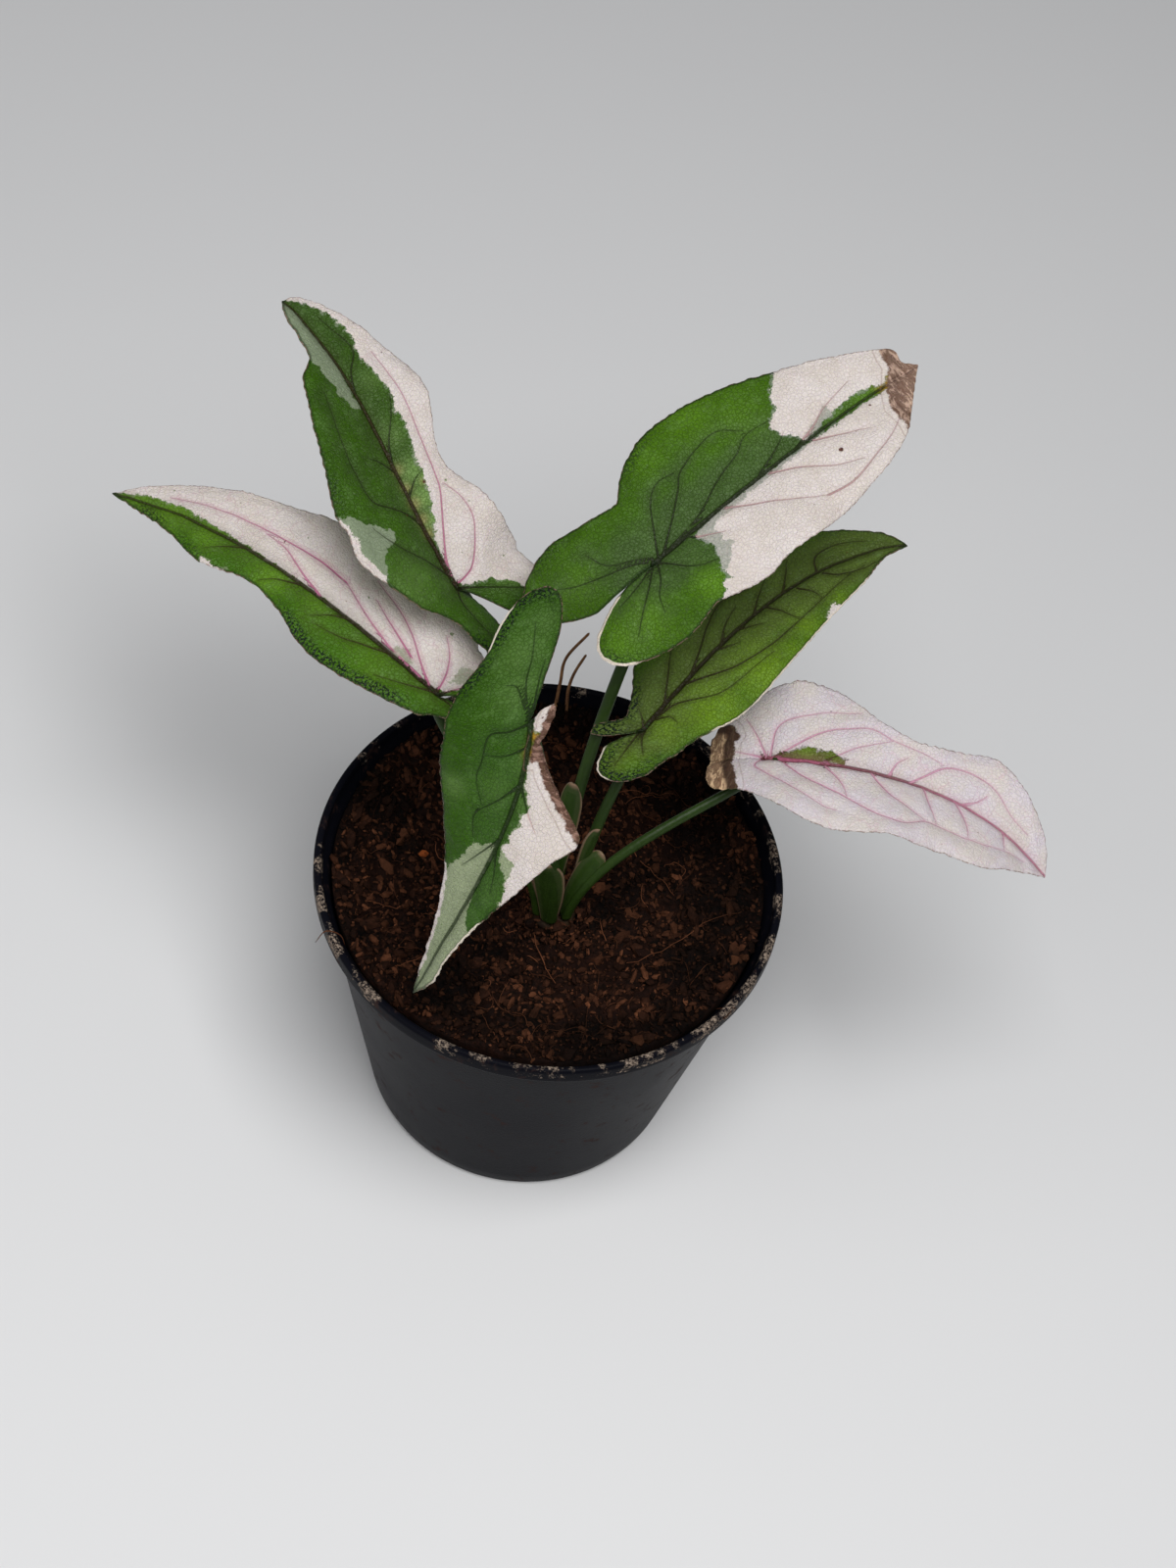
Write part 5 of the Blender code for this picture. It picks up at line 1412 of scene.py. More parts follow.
def blade_material(name, colours, marks):
    material, tree, shader = new_material("leaf_" + name + "_skin")
    flat = mesh_value(tree, "flat", vector=True)
    base, solid, mottle, net = sector_colours(tree, flat, colours, marks)
    fine = grain(tree, flat, 4.5, 2.0, 0.6)
    base, line = add_veins(tree, flat, base, solid, colours, marks)
    base = blend(tree, fade(tree, mesh_value(tree, "dots"), -0.12, 0.12), base, tint((96, 118, 66)))
    # Rust spots darken the blade; at the foot of the low right leaf they are painted shadow of the
    # gap at the stalk.
    base = blend(tree, fade(tree, mesh_value(tree, "rust_and_shade"), -0.12, 0.12), base, tint((78, 40, 30)))
    margin = mesh_value(tree, "margin")
    dark_edge = times(tree, fade(tree, margin, 0.75, 0.2), maths(tree, "SUBTRACT", 1.0, solid))
    base = blend(tree, times(tree, dark_edge, 0.7), base, tint((20, 36, 12)))
    broken = fade(tree, grain(tree, flat, 1.3, 2.0, 0.6), 0.42, 0.56)
    pale = mesh_value(tree, "pale_rim")
    wide = plus(tree, times(tree, pale, marks.get("rim_width", 0.42)), 0.16)
    edge = fade(tree, maths(tree, "SUBTRACT", wide, margin), -0.06, 0.06)
    edge = times(tree, edge, maths(tree, "MAXIMUM", broken, pale))
    side = maths(tree, "ABSOLUTE", add_node(tree, "SeparateXYZ", {0: flat}).outputs[0])
    edge = times(tree, edge, fade(tree, side, 0.5, 1.3))
    rim_colour = blend(tree, pale, tint((136, 104, 96)), tint((222, 210, 194)))
    edge = times(tree, edge, plus(tree, times(tree, pale, 0.25), 0.7))
    base = blend(tree, edge, base, rim_colour)
    dry = use_group(tree, RAGGED, {"Distance": mesh_value(tree, "dry"), "Place": flat,
                                   "Ragged": 0.9,
                                   "Soft": 0.25})["Mask"]
    dark_husk, light_husk, dry_shadow_share = colours["husk"]
    drawn = add_node(tree, "VectorMath", {0: flat, 1: (0.4, 1.0, 1.0)},
                     operation="MULTIPLY").outputs[0]
    folds = grain(tree, drawn, 0.9, 4.0, 0.65, 1.0)
    husk = blend(tree, fade(tree, folds, 0.36, 0.66), tint(dark_husk), tint(light_husk))
    # Painted shade: thin dark lines along the creases of the fold pattern on dry parts.
    painted_crease_shade = maths(tree, "ABSOLUTE", maths(tree, "SUBTRACT", folds, 0.5))
    husk = blend(tree, times(tree, fade(tree, painted_crease_shade, 0.05, 0.0), 0.6), husk, tint((70, 46, 36)))
    # Painted shadow: the dry part turns dark brown within about 2 mm of its border, most on the low
    # right leaf.
    inner = times(tree, fade(tree, mesh_value(tree, "dry"), 2.8, 1.8), dry_shadow_share)
    husk = blend(tree, inner, husk, tint((62, 42, 33)))
    base = blend(tree, dry, base, husk)
    line_gap = maths(tree, "ABSOLUTE", plus(tree, mesh_value(tree, "dry"), 1.2))
    base = blend(tree, times(tree, fade(tree, line_gap, 0.22, 0.06), 0.3), base,
                 tint((128, 92, 80)))
    under = mesh_value(tree, "under")
    base = blend(tree, under, base, blend(tree, 0.35, base, tint((142, 156, 112))))
    base = blend(tree, 1.0, base, blend(tree, fine, (0.86, 0.86, 0.86), (1.12, 1.12, 1.12)),
                 "MULTIPLY")
    tree.links.new(base, shader.inputs["Base Color"])
    rough = times(tree, maths(tree, "SUBTRACT", mottle, 0.5), 0.25)
    rough = plus(tree, plus(tree, rough, 0.32), times(tree, dry, 0.4))
    rough = plus(tree, rough, times(tree, under, 0.15), clamp=True)
    tree.links.new(rough, shader.inputs["Roughness"])
    height = plus(tree, times(tree, fine, 0.5), times(tree, line, -2.0))
    height = plus(tree, height, times(tree, mottle, 1.2))
    height = plus(tree, height, times(tree, net, -0.5))
    bump = add_node(tree, "Bump", {"Height": height, "Strength": 0.6, "Distance": 0.0004})
    tree.links.new(bump.outputs["Normal"], shader.inputs["Normal"])
    shader.inputs["Subsurface Weight"].default_value = 0.08
    shader.inputs["Subsurface Radius"].default_value = (0.0010, 0.0013, 0.0005)
    shader.inputs["Subsurface Scale"].default_value = 1.0
    shader.inputs["Specular IOR Level"].default_value = 0.12 if name == "front" else 0.18
    return material


def stalk_material():
    material, tree, shader = new_material("stalk_skin")
    place = object_place(tree)
    along = mesh_value(tree, "along")
    streak = grain(tree, place, 260.0, 3.0)
    # Painted shade: the stalk and sheath greens are their own colour made darker, as the stalks
    # stand in the shade of the leaves.
    low = blend(tree, streak, tint((26, 44, 10)), tint((46, 68, 20)))
    high = blend(tree, streak, tint((24, 42, 10)), tint((42, 64, 18)))
    base = blend(tree, fade(tree, along, 0.2, 0.9), low, high)
    pale = fade(tree, mesh_value(tree, "pale"), 0.35, 0.9)
    film = fade(tree, mesh_value(tree, "pale"), 0.0, 0.05)
    base = blend(tree, times(tree, film, 0.3), base, tint((74, 82, 50)))
    base = blend(tree, times(tree, pale, 0.7), base, tint((142, 112, 94)))
    tree.links.new(base, shader.inputs["Base Color"])
    finish = use_group(tree, GRAIN, {"Place": place, "Scale": 900.0, "Depth": 0.35})
    rough = plus(tree, times(tree, finish["Value"], 0.25), 0.32)
    tree.links.new(rough, shader.inputs["Roughness"])
    tree.links.new(finish["Normal"], shader.inputs["Normal"])
    shader.inputs["Subsurface Weight"].default_value = 0.15
    shader.inputs["Subsurface Radius"].default_value = (0.0014, 0.0016, 0.0007)
    shader.inputs["Specular IOR Level"].default_value = 0.2
    shader.inputs["Subsurface Scale"].default_value = 1.0
    return material


STALK_SKIN = stalk_material()
for name, piece in leaf_pieces.items():
    piece.data.materials.append(blade_material(name, LEAF_COLOURS[name], MARKS[name]))
    piece.data.materials.append(STALK_SKIN)
print("blade finishes:", len(leaf_pieces))

# %% [markdown]
# ## The pot
#
# A nursery pot is thin black plastic, vacuum formed or moulded, with a flared wall,
# a small step under the lip and a rounded lip. Its section is one closed line that
# is spun round the axis. The lines of the section follow the CAD pot, with arcs of
# short steps where the plastic is rounded. The drain holes are cut with cylinders.

# %% Spin the pot and cut its holes
POT_FOOT, POT_NECK, POT_RIM = 34.5, 47.6, 50.0
NECK_HEIGHT, POT_HEIGHT, POT_WALL, POT_FLOOR = 71.6, 76.0, 1.1, 1.6
POT_STEPS = 240
SAME_PLACE = 2e-7
DRAIN_REACH, DRAIN_RADIUS = 26, 3.5


def wall_radius(height, inside=0.0):
    return POT_FOOT + (POT_NECK - POT_FOOT) * height / NECK_HEIGHT - inside


def spin_section(name, section, steps):
    bm = bmesh.new()
    verts = [bm.verts.new((r * MM, 0.0, z * MM)) for r, z in section]
    edges = [bm.edges.new(pair) for pair in zip(verts, verts[1:])]
    bmesh.ops.spin(bm, geom=verts + edges, axis=(0, 0, 1), cent=(0, 0, 0), dvec=(0, 0, 0),
                   angle=2 * math.pi, steps=steps, use_merge=True, use_duplicate=False)
    bmesh.ops.remove_doubles(bm, verts=bm.verts, dist=1e-6)
    bmesh.ops.recalc_face_normals(bm, faces=bm.faces)
    return finish_mesh(name, bm)


def arc(centre, radius, start, stop, steps):
    angles = np.radians(np.linspace(start, stop, steps + 1))
    return [(centre[0] + radius * math.cos(a), centre[1] + radius * math.sin(a)) for a in angles]


def sort_points(bm):
    coords = np.array([vert.co for vert in bm.verts])
    rank = np.argsort(np.lexsort(coords.T)).tolist()
    bm.verts.index_update()
    bm.verts.sort(key=lambda vert: rank[vert.index])
    bm.verts.index_update()


# A boolean gives its points and faces in another order each run, and may put two
# points almost in one place, so points within SAME_PLACE are merged and all are sorted
def in_fixed_order(mesh):
    bm = bmesh.new()
    bm.from_mesh(mesh)
    sort_points(bm)
    bmesh.ops.remove_doubles(bm, verts=bm.verts, dist=SAME_PLACE)
    sort_points(bm)
    rings = []
    for face in bm.faces:
        ring = [vert.index for vert in face.verts]
        first = ring.index(min(ring))
        rings.append((ring[first:] + ring[:first], face.smooth))
    rings.sort()
    result = bpy.data.meshes.new(mesh.name)
    result.from_pydata([tuple(vert.co) for vert in bm.verts], [], [ring for ring, _ in rings])
    result.polygons.foreach_set("use_smooth", [smooth for _, smooth in rings])
    bm.free()
    return result


def carve(piece, cutters):
    for cutter in cutters:
        change = piece.modifiers.new("carve", "BOOLEAN")
        change.operation = "DIFFERENCE"
        change.solver = "EXACT"
        change.object = cutter
    graph = bpy.context.evaluated_depsgraph_get()
    mesh = bpy.data.meshes.new_from_object(piece.evaluated_get(graph))
    piece.modifiers.clear()
    piece.data = in_fixed_order(mesh)
    for cutter in cutters:
        bpy.data.objects.remove(cutter, do_unlink=True)


def rod(x, y, radius, low, high, sides=32):
    bm = bmesh.new()
    bmesh.ops.create_cone(bm, cap_ends=True, segments=sides, radius1=radius * MM,
                          radius2=radius * MM, depth=(high - low) * MM,
                          matrix=Matrix.Translation((x * MM, y * MM, (low + high) / 2 * MM)))
    return finish_mesh("cutter", bm, smooth=False)


def pot_section():
    top = POT_HEIGHT
    heights = np.linspace(3.0, NECK_HEIGHT - 0.5, 26)
    section = [(0.0, 0.0), (12.0, 0.0), (24.0, 0.0), (POT_FOOT - 1.6, 0.0)]
    section += arc((POT_FOOT - 1.6, 1.5), 1.5, -80, 0, 5)
    section += [(wall_radius(h), h) for h in heights]
    section += [(POT_NECK + 0.5, NECK_HEIGHT - 0.05), (POT_RIM - 0.7, NECK_HEIGHT + 0.1)]
    section += arc((POT_RIM - 0.6, NECK_HEIGHT + 0.8), 0.6, -70, 0, 4)
    section += [(POT_RIM, 73.4), (POT_RIM, 74.6)]
    section += arc((POT_RIM - 0.85, top - 0.85), 0.85, 0, 180, 12)
    section += [(POT_RIM - 1.9, 74.0), (POT_RIM - 2.4, 73.0), (POT_RIM - 3.0, 72.2)]
    section += [(wall_radius(h, POT_WALL), h) for h in heights[::-1]]
    section += [(wall_radius(0.0, POT_WALL) - 0.8, POT_FLOOR + 0.3), (24.0, POT_FLOOR),
                (0.0, POT_FLOOR)]
    return section


def build_pot():
    piece = spin_section("nursery_pot", pot_section(), POT_STEPS)
    holes = []
    for k in range(6):
        angle = math.radians(30 + 60 * k)
        holes.append(rod(DRAIN_REACH * math.cos(angle), DRAIN_REACH * math.sin(angle),
                         DRAIN_RADIUS, -1.0, 3.0))
    carve(piece, holes)
    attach(piece, "root")
    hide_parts("pot")
    return piece


pot = build_pot()
print("pot has", len(pot.data.polygons), "faces and", sum(
    1 for p in pot.data.polygons if p.area < 1e-12), "slivers")

# %% [markdown]
# ## Black plastic with dried crust
#
# The plastic is black with a blue touch and a satin sheen, finely scratched. Along
# the lip, watering leaves patches of pale crust and dust of soil. Their places are
# measured from points on the rim, and the ragged group breaks their borders.

# %% Pot finish
CRUST_POINTS = (
    (-31.9, -36.8, 2.2), (1.3, -47.9, 1.6), (7.3, -47.4, 1.8), (37.8, -32.2, 2.6),
    (41.7, -27.3, 2.2),
    (45.1, -20.0, 2.6), (47.9, -11.3, 2.4), (48.6, 2.3, 1.6), (46.8, 14.0, 1.6), (-47.2, -8.5, 2.0),
    (-44.9, -18.1, 2.6), (-41.5, -27.3, 3.0), (26.1, -41.2, 1.6), (22.3, -43.6, 1.8),
    (-15, -46.6, 1.4),
)
CRUST_SPECKS = 70


def crust_distance(places):
    best = np.full(len(places), -6.0)
    random = np.random.default_rng(SEED)
    turns = random.uniform(0, 2 * math.pi, CRUST_SPECKS)
    small = zip(49.0 * np.cos(turns), 49.0 * np.sin(turns), random.uniform(0.2, 0.8, CRUST_SPECKS))
    for x, y, size in (*CRUST_POINTS, *small):
        gap = np.hypot(places[:, 0] - x, places[:, 1] - y)
        best = np.maximum(best, size - gap)
    return np.where(places[:, 2] > 73.0, best, -6.0)


def pot_material():
    material, tree, shader = new_material("pot_plastic_skin")
    place = object_place(tree)
    cloud = grain(tree, place, 40.0, 3.0)
    base = blend(tree, cloud, (0.0022, 0.0026, 0.0046), (0.006, 0.006, 0.0095))
    dust = times(tree, fade(tree, grain(tree, place, 220.0, 4.0, 0.7), 0.56, 0.74), 0.35)
    base = blend(tree, dust, base, tint((92, 66, 56)))
    scaled = add_node(tree, "VectorMath", {0: place, 3: 1000.0}, operation="SCALE").outputs[0]
    crust = use_group(tree, RAGGED, {"Distance": mesh_value(tree, "crust"), "Place": scaled,
                                     "Ragged": 3.0, "Soft": 0.5})["Mask"]
    crumbly = times(tree, crust, fade(tree, grain(tree, place, 1500.0, 3.0, 0.7), 0.42, 0.6))
    base = blend(tree, times(tree, crumbly, 0.8), base, tint((166, 148, 132)))
    tree.links.new(base, shader.inputs["Base Color"])
    rough = plus(tree, times(tree, cloud, 0.16), 0.30)
    rough = plus(tree, rough, times(tree, crumbly, 0.5), clamp=True)
    rough = plus(tree, rough, times(tree, dust, 0.8), clamp=True)
    tree.links.new(rough, shader.inputs["Roughness"])
    fine = use_group(tree, GRAIN, {"Place": place, "Scale": 1800.0, "Depth": 0.12})
    shader.inputs["Specular IOR Level"].default_value = 0.025
    raised = add_node(tree, "Bump", {"Height": crumbly, "Strength": 0.6, "Distance": 0.0005,
                                     "Normal": fine["Normal"]})
    tree.links.new(raised.outputs["Normal"], shader.inputs["Normal"])
    return material


set_value(pot.data, "crust", crust_distance(mesh_coords(pot.data) / MM))
pot.data.materials.clear()
pot.data.materials.append(pot_material())
print("crust patches:", len(CRUST_POINTS))

# %% [markdown]
# ## The bed of coir
#
# The pot is full of coir: brown, crumbly, with lumps and hollows. The bed is a spun
# section too, and its top is then pushed up and down by noise. Cells make chips,
# soft noise makes rolls and fine noise makes crumbs. Holes are carved where the
# crown and the two thin roots go in.

# %% Soil bed
SOIL_TOP = 71.4
SOIL_EDGE = SOIL_TOP - 0.4
SOIL_GAP = 0.3
SOIL_STEPS = 260
CROWN_HOLE = dict(radius=5.3, low=52.7, high=85.0, sides=48)
ROOT_HOLE = dict(radius=0.75, low=65.7, high=85.0, sides=12)
ROOT_PLACES = ((-5.2, 44.4), (-2.6, 44.4))


def soil_height(x, y):
    near = math.hypot(x - CROWN[0], y - CROWN[1])
    mound = 1.3 * math.exp(-((near / 11.0) ** 2))
    rolls = noise.noise(Vector((x, y, 0.0)) * 0.055)
    gaps = noise.voronoi(Vector((x * MM, y * MM, 0.003)) * 190.0)[0]
    chips = min(gaps[1] - gaps[0], 0.5) - 0.25
    return SOIL_TOP + mound + 2.6 * (0.55 * rolls + 1.2 * chips)


def crumb_height(x, y):
    cells = noise.voronoi(Vector((x, y, 1.0)) * 0.75)[0]
    crumbs = min(cells[1] - cells[0], 0.6) - 0.3
    return 0.9 * crumbs + 0.25 * noise.noise(Vector((x, y, 4.0)) * 1.9)


def climb(gap):
    return 2.9 * math.exp(-((max(gap, 0.0) / 4.5) ** 2))


def soil_section():
    low = POT_FLOOR + SOIL_GAP
    reach = wall_radius(SOIL_EDGE, POT_WALL) - SOIL_GAP
    section = [(reach * k / 120, SOIL_EDGE) for k in range(121)]
    section += [(wall_radius(h, POT_WALL) - SOIL_GAP, h)
                for h in np.linspace(SOIL_EDGE - 3, low + 2.0, 14)]
    section += [(wall_radius(low, POT_WALL) - 3.0, low), (16.0, low), (0.0, low)]
    return section


def build_soil():
    piece = spin_section("coir_bed", soil_section(), SOIL_STEPS)
    coords = mesh_coords(piece.data) / MM
    reach = wall_radius(SOIL_EDGE, POT_WALL) - SOIL_GAP
    for k in np.nonzero(coords[:, 2] > SOIL_EDGE - 0.05)[0]:
        x, y = coords[k, 0], coords[k, 1]
        gap = reach - math.hypot(x, y)
        hold = min(max(gap / 0.8, 0.0), 1.0)
        top = soil_height(x, y) + crumb_height(x, y) - 0.5 + climb(gap)
        coords[k, 2] = SOIL_EDGE + hold * (top - SOIL_EDGE) + (1 - hold) * 2.2
    piece.data.vertices.foreach_set("co", (coords * MM).ravel())
    piece.data.update()
    cutters = [rod(CROWN[0], CROWN[1], **CROWN_HOLE)]
    cutters += [rod(x, y, **ROOT_HOLE) for x, y in ROOT_PLACES]
    carve(piece, cutters)
    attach(piece, "root")
    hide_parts("soil")
    return piece


soil = build_soil()
print("coir bed has", len(soil.data.polygons), "faces")

# %% [markdown]
# ## Loose crumbs, chips and fibres
#
# What makes coir look like coir is loose stuff of many sizes. A few hundred faces
# would not do, so one rough crumb is copied many times into one mesh, and each copy
# is stretched, turned and laid on the bed. Fibres are long bent tubes. The larger
# light chips and the longest fibres lie where they do on the real plant.

# %% Scatter crumbs and chips
random = np.random.default_rng(SEED)
BIG_CHIPS = (
    (-27.1, 1.3, 3.2, 2), (0.1, -32.8, 2.4, 1), (12.6, -29.3, 2.2, 1), (41.1, -13.6, 4.2, 1),
    (-2.1, 36.4, 2.8, 2), (-36, -19.6, 2.4, 1), (-32.5, -18.9, 1.8, 1), (-38.5, -6.8, 2.2, 1),
    (-29.7, -17.6, 1.8, 1), (3.3, -21.9, 1.6, 1), (5.3, -21.5, 1.5, 1), (7.1, -30.9, 1.8, 1),
    (12.8, -20.5, 1.8, 1), (32.6, -24.5, 2.4, 1), (19.4, -18.6, 1.8, 1), (-20.1, -31.2, 2.2, 1),
    (-13.8, -25.5, 2.0, 1), (17.6, -36, 2.0, 1),
)
CHIP_COUNT = 8400
COLLAR_CHIPS = 260
CHIP_REACH = 45.9


def copies(template, count):
    mesh = bpy.data.meshes.new("template")
    template.to_mesh(mesh)
    template.free()
    bm = bmesh.new()
    for _ in range(count):
        bm.from_mesh(mesh)
    bpy.data.meshes.remove(mesh)
    return bm


def random_turns(count, flat_share):
    turn = random.uniform(0, 2 * math.pi, count)
    lean = random.normal(0.0, 1.0, (count, 2)) * flat_share
    result = np.empty((count, 3, 3))
    for k in range(count):
        result[k] = np.array(
            Matrix.Rotation(lean[k, 0], 3, "X") @ Matrix.Rotation(lean[k, 1], 3, "Y")
            @ Matrix.Rotation(turn[k], 3, "Z"))
    return result


def build_chips():
    crumb = bmesh.new()
    bmesh.ops.create_icosphere(crumb, subdivisions=1, radius=1.0)
    per = len(crumb.verts)
    total = CHIP_COUNT + len(BIG_CHIPS)
    piece = finish_mesh("coir_chips", copies(crumb, total), smooth=False)
    shape = mesh_coords(piece.data).reshape(total, per, 3)
    shape = shape * (1 + random.uniform(-0.28, 0.28, (total, per, 1)))
    size = np.exp(random.normal(-0.65, 0.55, total)).clip(0.22, 2.2)
    length = size * random.uniform(1.0, 2.2, total)
    height = size * random.uniform(0.4, 0.9, total)
    reach = CHIP_REACH * np.sqrt(random.uniform(0, 1, total))
    angle = random.uniform(0, 2 * math.pi, total)
    x, y = reach * np.cos(angle), reach * np.sin(angle)
    tone = random.beta(1.0, 4.2, total)
    for k, (cx, cy, big, kind) in enumerate(BIG_CHIPS):
        x[k], y[k], size[k], length[k], height[k] = cx, cy, big * 0.42, big * 0.62, big * 0.16
        tone[k] = 0.85 if kind == 1 else 1.4
    collar = slice(total - COLLAR_CHIPS, total)
    ring = 8.7 * random.uniform(0, 1, COLLAR_CHIPS) ** 0.6
    turn = random.uniform(0, 2 * math.pi, COLLAR_CHIPS)
    x[collar], y[collar] = CROWN[0] + ring * np.cos(turn), CROWN[1] + ring * np.sin(turn)
    stretch = np.stack([length, size, height], 1)[:, None, :]
    turned = np.einsum("kij,kpj->kpi", random_turns(total, 0.75), shape * stretch * 0.62)
    level = [soil_height(a, b) + crumb_height(a, b) + climb(45.5 - math.hypot(a, b))
             for a, b in zip(x, y)]
    level = np.array(level) - 0.3
    level[collar] = np.maximum(level[collar], 74.8 - 0.6 * np.maximum(ring - 4.6, 0.0))
    spot = np.stack([x, y, level], 1)
    placed = turned + spot[:, None, :]
    flat = placed.reshape(-1, 3)
    radius = np.hypot(flat[:, 0], flat[:, 1])
    limit = wall_radius(flat[:, 2], POT_WALL) - 0.25
    pull = np.minimum(1.0, limit / np.maximum(radius, 1e-6))
    flat[:, :2] *= pull[:, None]
    piece.data.vertices.foreach_set("co", (flat * MM).ravel())
    set_value(piece.data, "tone", np.repeat(tone, per))
    piece.data.update()
    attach(piece, "root")
    return piece


chips = build_chips()
print("chips and crumbs:", CHIP_COUNT + len(BIG_CHIPS))

# %% [markdown]
# ## Coir fibres
#
# Each fibre is a thin tube along a curve. Those that show well in the photo follow
# drawn points, short ones are strewn at random, and a few hang over the lip.

# %% Lay the fibres
FIBRES = (
    ((8.3, 25), (17.5, 27.3), (27, 27.7)),
    ((19.2, -17.9), (26.8, -12.3), (34.7, -3.4), (41.1, 0), (45.5, 4)),
    ((12.2, -8.1), (13.2, -10.9), (14.9, -14.3)),
    ((-1.6, -20.7), (-0.3, -21.2), (1.1, -22.1)),
    ((-1, -15.1), (1.2, -20.1), (5.3, -25.4)),
    ((14.9, -32.2), (17.2, -33.9), (19.3, -34.2)),
    ((-28.3, -27.7), (-24.1, -26.1), (-22.4, -24)),
    ((25.1, 36.2), (28.5, 30.2), (30.7, 22.6)),
    ((23.8, 29.2), (29.2, 24.4), (34.1, 24.4)),
    ((15.1, 12.6), (21.1, 7.4), (27.1, 2.2)),
    ((36.0, -26.5), (33.6, -30.5), (29.7, -34)),
)
LOOSE_FIBRES = 220
FIBRE_RINGS = 12
# Strands caught on the lip, with their heights
RIM_STRANDS = (
    ((-39.1, -25.9, 72.6), (-40.2, -25.4, 75.4), (-42.4, -25.3, 76.3), (-43.8, -25.9, 76.3),
     (-45.1, -27.6, 74.6)),
    ((-1.5, -46.9, 75.4), (-1.4, -45.0, 75.9), (0.5, -44.2, 75.4), (2.3, -45.6, 75.9),
     (3.2, -47.0, 75.6)),
    ((39, -25.7, 72.8), (41.6, -26.4, 75.3), (43.2, -26.6, 75.7)),
    ((38.9, -29.0, 72.6), (40.9, -29.0, 75.2), (42.1, -27.3, 75.7)),
)


def fibre_lines():
    lines = []
    for points in FIBRES:
        curve = even_points(smooth_curve(points, 8), FIBRE_RINGS)
        heights = [soil_height(a, b) + 0.55 for a, b in curve]
        lines.append((np.column_stack([curve, heights]), 0.11, 0.8))
    for points in RIM_STRANDS:
        lines.append((even_points(smooth_curve(points, 8), FIBRE_RINGS), 0.13, 0.7))
    for _ in range(LOOSE_FIBRES):
        reach = 42 * math.sqrt(random.uniform())
        angle, heading = random.uniform(0, 2 * math.pi, 2)
        spot = np.array([reach * math.cos(angle), reach * math.sin(angle)])
        stride = random.uniform(0.2, 0.85)
        curl = random.normal(0.0, 0.22)
        curve = []
        for k in range(FIBRE_RINGS + 1):
            spot = spot + stride * np.array([math.cos(heading), math.sin(heading)])
            heading += curl + random.normal(0.0, 0.12)
            spot = spot * min(1.0, 45.0 / max(math.hypot(*spot), 1e-6))
            arch = 0.35 + 0.7 * math.sin(math.pi * k / FIBRE_RINGS)
            curve.append((spot[0], spot[1], soil_height(*spot) + arch * 0.7))
        tone = 0.95 if random.uniform() < 0.1 else random.uniform(0.02, 0.45)
        lines.append((np.array(curve), random.uniform(0.05, 0.1), tone))
    return lines


def build_fibres():
    lines = fibre_lines()
    template = straight_tube(5, FIBRE_RINGS)
    per = len(template.verts)
    piece = finish_mesh("coir_fibres", copies(template, len(lines)))
    shape = mesh_coords(piece.data).reshape(len(lines), per, 3)
    for k, (curve, radius, _) in enumerate(lines):
        ends = np.linspace(-1, 1, len(curve))
        shape[k] = tube_places(shape[k], curve, radius * (1 - 0.5 * np.abs(ends) ** 3))
    piece.data.vertices.foreach_set("co", (shape.reshape(-1, 3) * MM).ravel())
    set_value(piece.data, "tone", np.repeat([tone for _, _, tone in lines], per))
    piece.data.update()
    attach(piece, "root")
    return piece


fibres = build_fibres()
print("fibres:", len(fibres.data.vertices) // (5 * (FIBRE_RINGS + 1)))

# %% [markdown]
# ## Coir finishes
#
# Wet coir is nearly black brown, and dry chips are the colour of cork. One recipe
# serves bed, chips and fibres: the tone kept on each chip or fibre moves its colour
# from dark to light. Everything is rough, with a strong fine bump.


# %% Coir material
def coir_material(name, with_tone):
    material, tree, shader = new_material(name)
    place = object_place(tree)
    fine = grain(tree, place, 900.0, 4.0, 0.7)
    cloud = grain(tree, place, 90.0, 3.0)
    base = blend(tree, fade(tree, fine, 0.35, 0.7), tint((10, 6, 4)), tint((44, 24, 16)))
    base = blend(tree, fade(tree, cloud, 0.45, 0.75), base, tint((30, 15, 10)))
    shade = fade(tree, grain(tree, place, 48.0, 2.0), 0.40, 0.58)
    if with_tone:
        tone = mesh_value(tree, "tone")
        light = blend(tree, fine, tint((100, 57, 37)), tint((172, 114, 80)))
        base = blend(tree, times(tree, tone, 0.85, clamp=True), base, light)
        base = blend(tree, fade(tree, tone, 1.1, 1.3), base, tint((158, 84, 42)))
    base = blend(tree, 1.0, base, blend(tree, shade, (0.24, 0.23, 0.22), (0.78, 0.73, 0.71)),
                 "MULTIPLY")
    tree.links.new(base, shader.inputs["Base Color"])
    finish = use_group(tree, GRAIN, {"Place": place, "Scale": 1300.0, "Depth": 0.7})
    rough = plus(tree, times(tree, finish["Value"], 0.2), 0.75)
    tree.links.new(rough, shader.inputs["Roughness"])
    tree.links.new(finish["Normal"], shader.inputs["Normal"])
    shader.inputs["Specular IOR Level"].default_value = 0.08
    return material


soil.data.materials.clear()
soil.data.materials.append(coir_material("coir_bed_skin", False))
loose = coir_material("coir_loose_skin", True)
chips.data.materials.append(loose)
fibres.data.materials.append(loose)
print("coir finishes done")

# %% [markdown]
# ## Crown and aerial roots
#
# All stalks leave one short stem, the crown, which is ringed by the scars of older
# leaves. Two thin aerial roots rise from the soil behind it. Both are simple round
# forms, spun or bent from a tube, with knots made by moving whole rings.

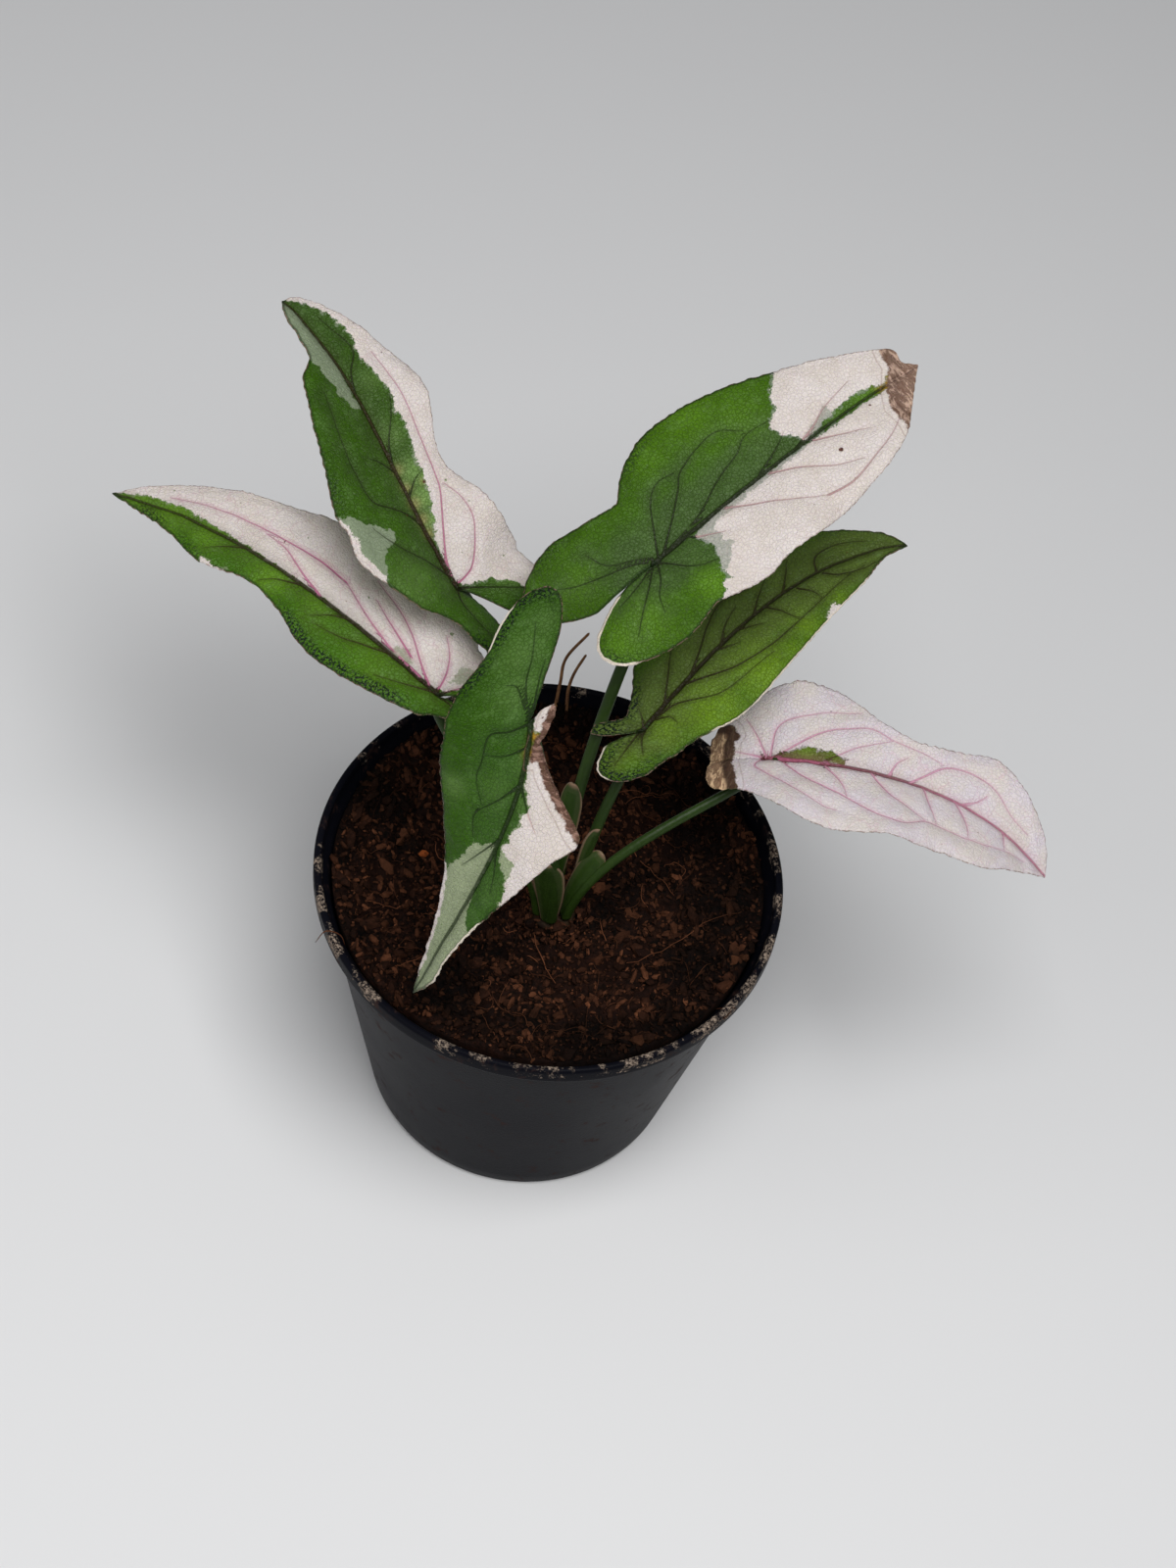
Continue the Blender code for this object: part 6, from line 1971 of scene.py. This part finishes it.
# %% Crown and roots
CROWN_STEPS = 64
ROOT_SIDES, ROOT_RINGS, ROOT_RADIUS = 12, 70, 0.45
ROOTS = {
    "1": ((-5.2, 44.4, 66), (-5.2, 44.4, 73), (-5, 47.5, 79), (-4.6, 50.6, 84), (-0.5, 53.8, 90)),
    "2": ((-2.6, 44.4, 66), (-2.6, 44.4, 72.5), (-3, 47.3, 77), (-2.3, 50, 80), (-0.4, 52.5, 84)),
}


def skin_material(name, dark, light, rough_base):
    material, tree, shader = new_material(name)
    place = object_place(tree)
    streak = grain(tree, place, 420.0, 4.0, 0.65)
    base = blend(tree, fade(tree, streak, 0.3, 0.7), tint(dark), tint(light))
    tree.links.new(base, shader.inputs["Base Color"])
    shader.inputs["Specular IOR Level"].default_value = 0.12
    finish = use_group(tree, GRAIN, {"Place": place, "Scale": 1500.0, "Depth": 0.6})
    rough = plus(tree, times(tree, finish["Value"], 0.2), rough_base)
    tree.links.new(rough, shader.inputs["Roughness"])
    tree.links.new(finish["Normal"], shader.inputs["Normal"])
    return material


def build_crown():
    section = [(0.0, 53.2), (3.0, 53.2)]
    for height in np.linspace(53.6, 73.6, 60):
        ring = 0.30 * math.exp(-(((height % 3.6) - 1.8) / 0.35) ** 2)
        section.append((4.45 + ring + 0.25 * math.sin(height * 0.7), height))
    section += [(4.2, 74.2), (3.2, 74.6), (1.6, 74.4), (0.0, 74.3)]
    piece = spin_section("crown", section, CROWN_STEPS)
    piece.data.transform(Matrix.Translation((CROWN[0] * MM, CROWN[1] * MM, 0.0)))
    piece.data.materials.append(skin_material("crown_skin", (26, 16, 11), (58, 44, 28), 0.6))
    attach(piece, "root")
    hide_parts("stem")
    return piece


def build_root(name, points, material):
    curve = even_points(smooth_curve(points, 10), ROOT_RINGS)
    shares = np.linspace(0, 1, len(curve))
    knots = 1 + 0.16 * np.array([noise.noise(Vector((s * 14.0, float(name), 0.0))) for s in shares])
    piece = finish_mesh("thin_root_" + name, straight_tube(ROOT_SIDES, ROOT_RINGS))
    radii = ROOT_RADIUS * (1 - 0.3 * shares) * np.minimum(knots, 1.0)
    radii[-1] *= 0.35
    placed = tube_places(mesh_coords(piece.data), curve, radii, (0.0, 1.0, 0.0))
    piece.data.vertices.foreach_set("co", (placed * MM).ravel())
    piece.data.update()
    piece.data.materials.append(material)
    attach(piece, "root")
    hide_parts("aerial_root_" + name)
    return piece


build_crown()
root_skin = skin_material("root_skin_finish", (86, 56, 36), (142, 104, 72), 0.6)
for name, points in ROOTS.items():
    build_root(name, points, root_skin)
print("crown and", len(ROOTS), "roots done")

# %% [markdown]
#
# The dressed plant must keep the size of the CAD part, so the CAD box is printed
# in millimetres.

# %% Print the CAD box
print("cad box", [[round(c * 1000, 1) for c in p] for p in CAD_BOX])
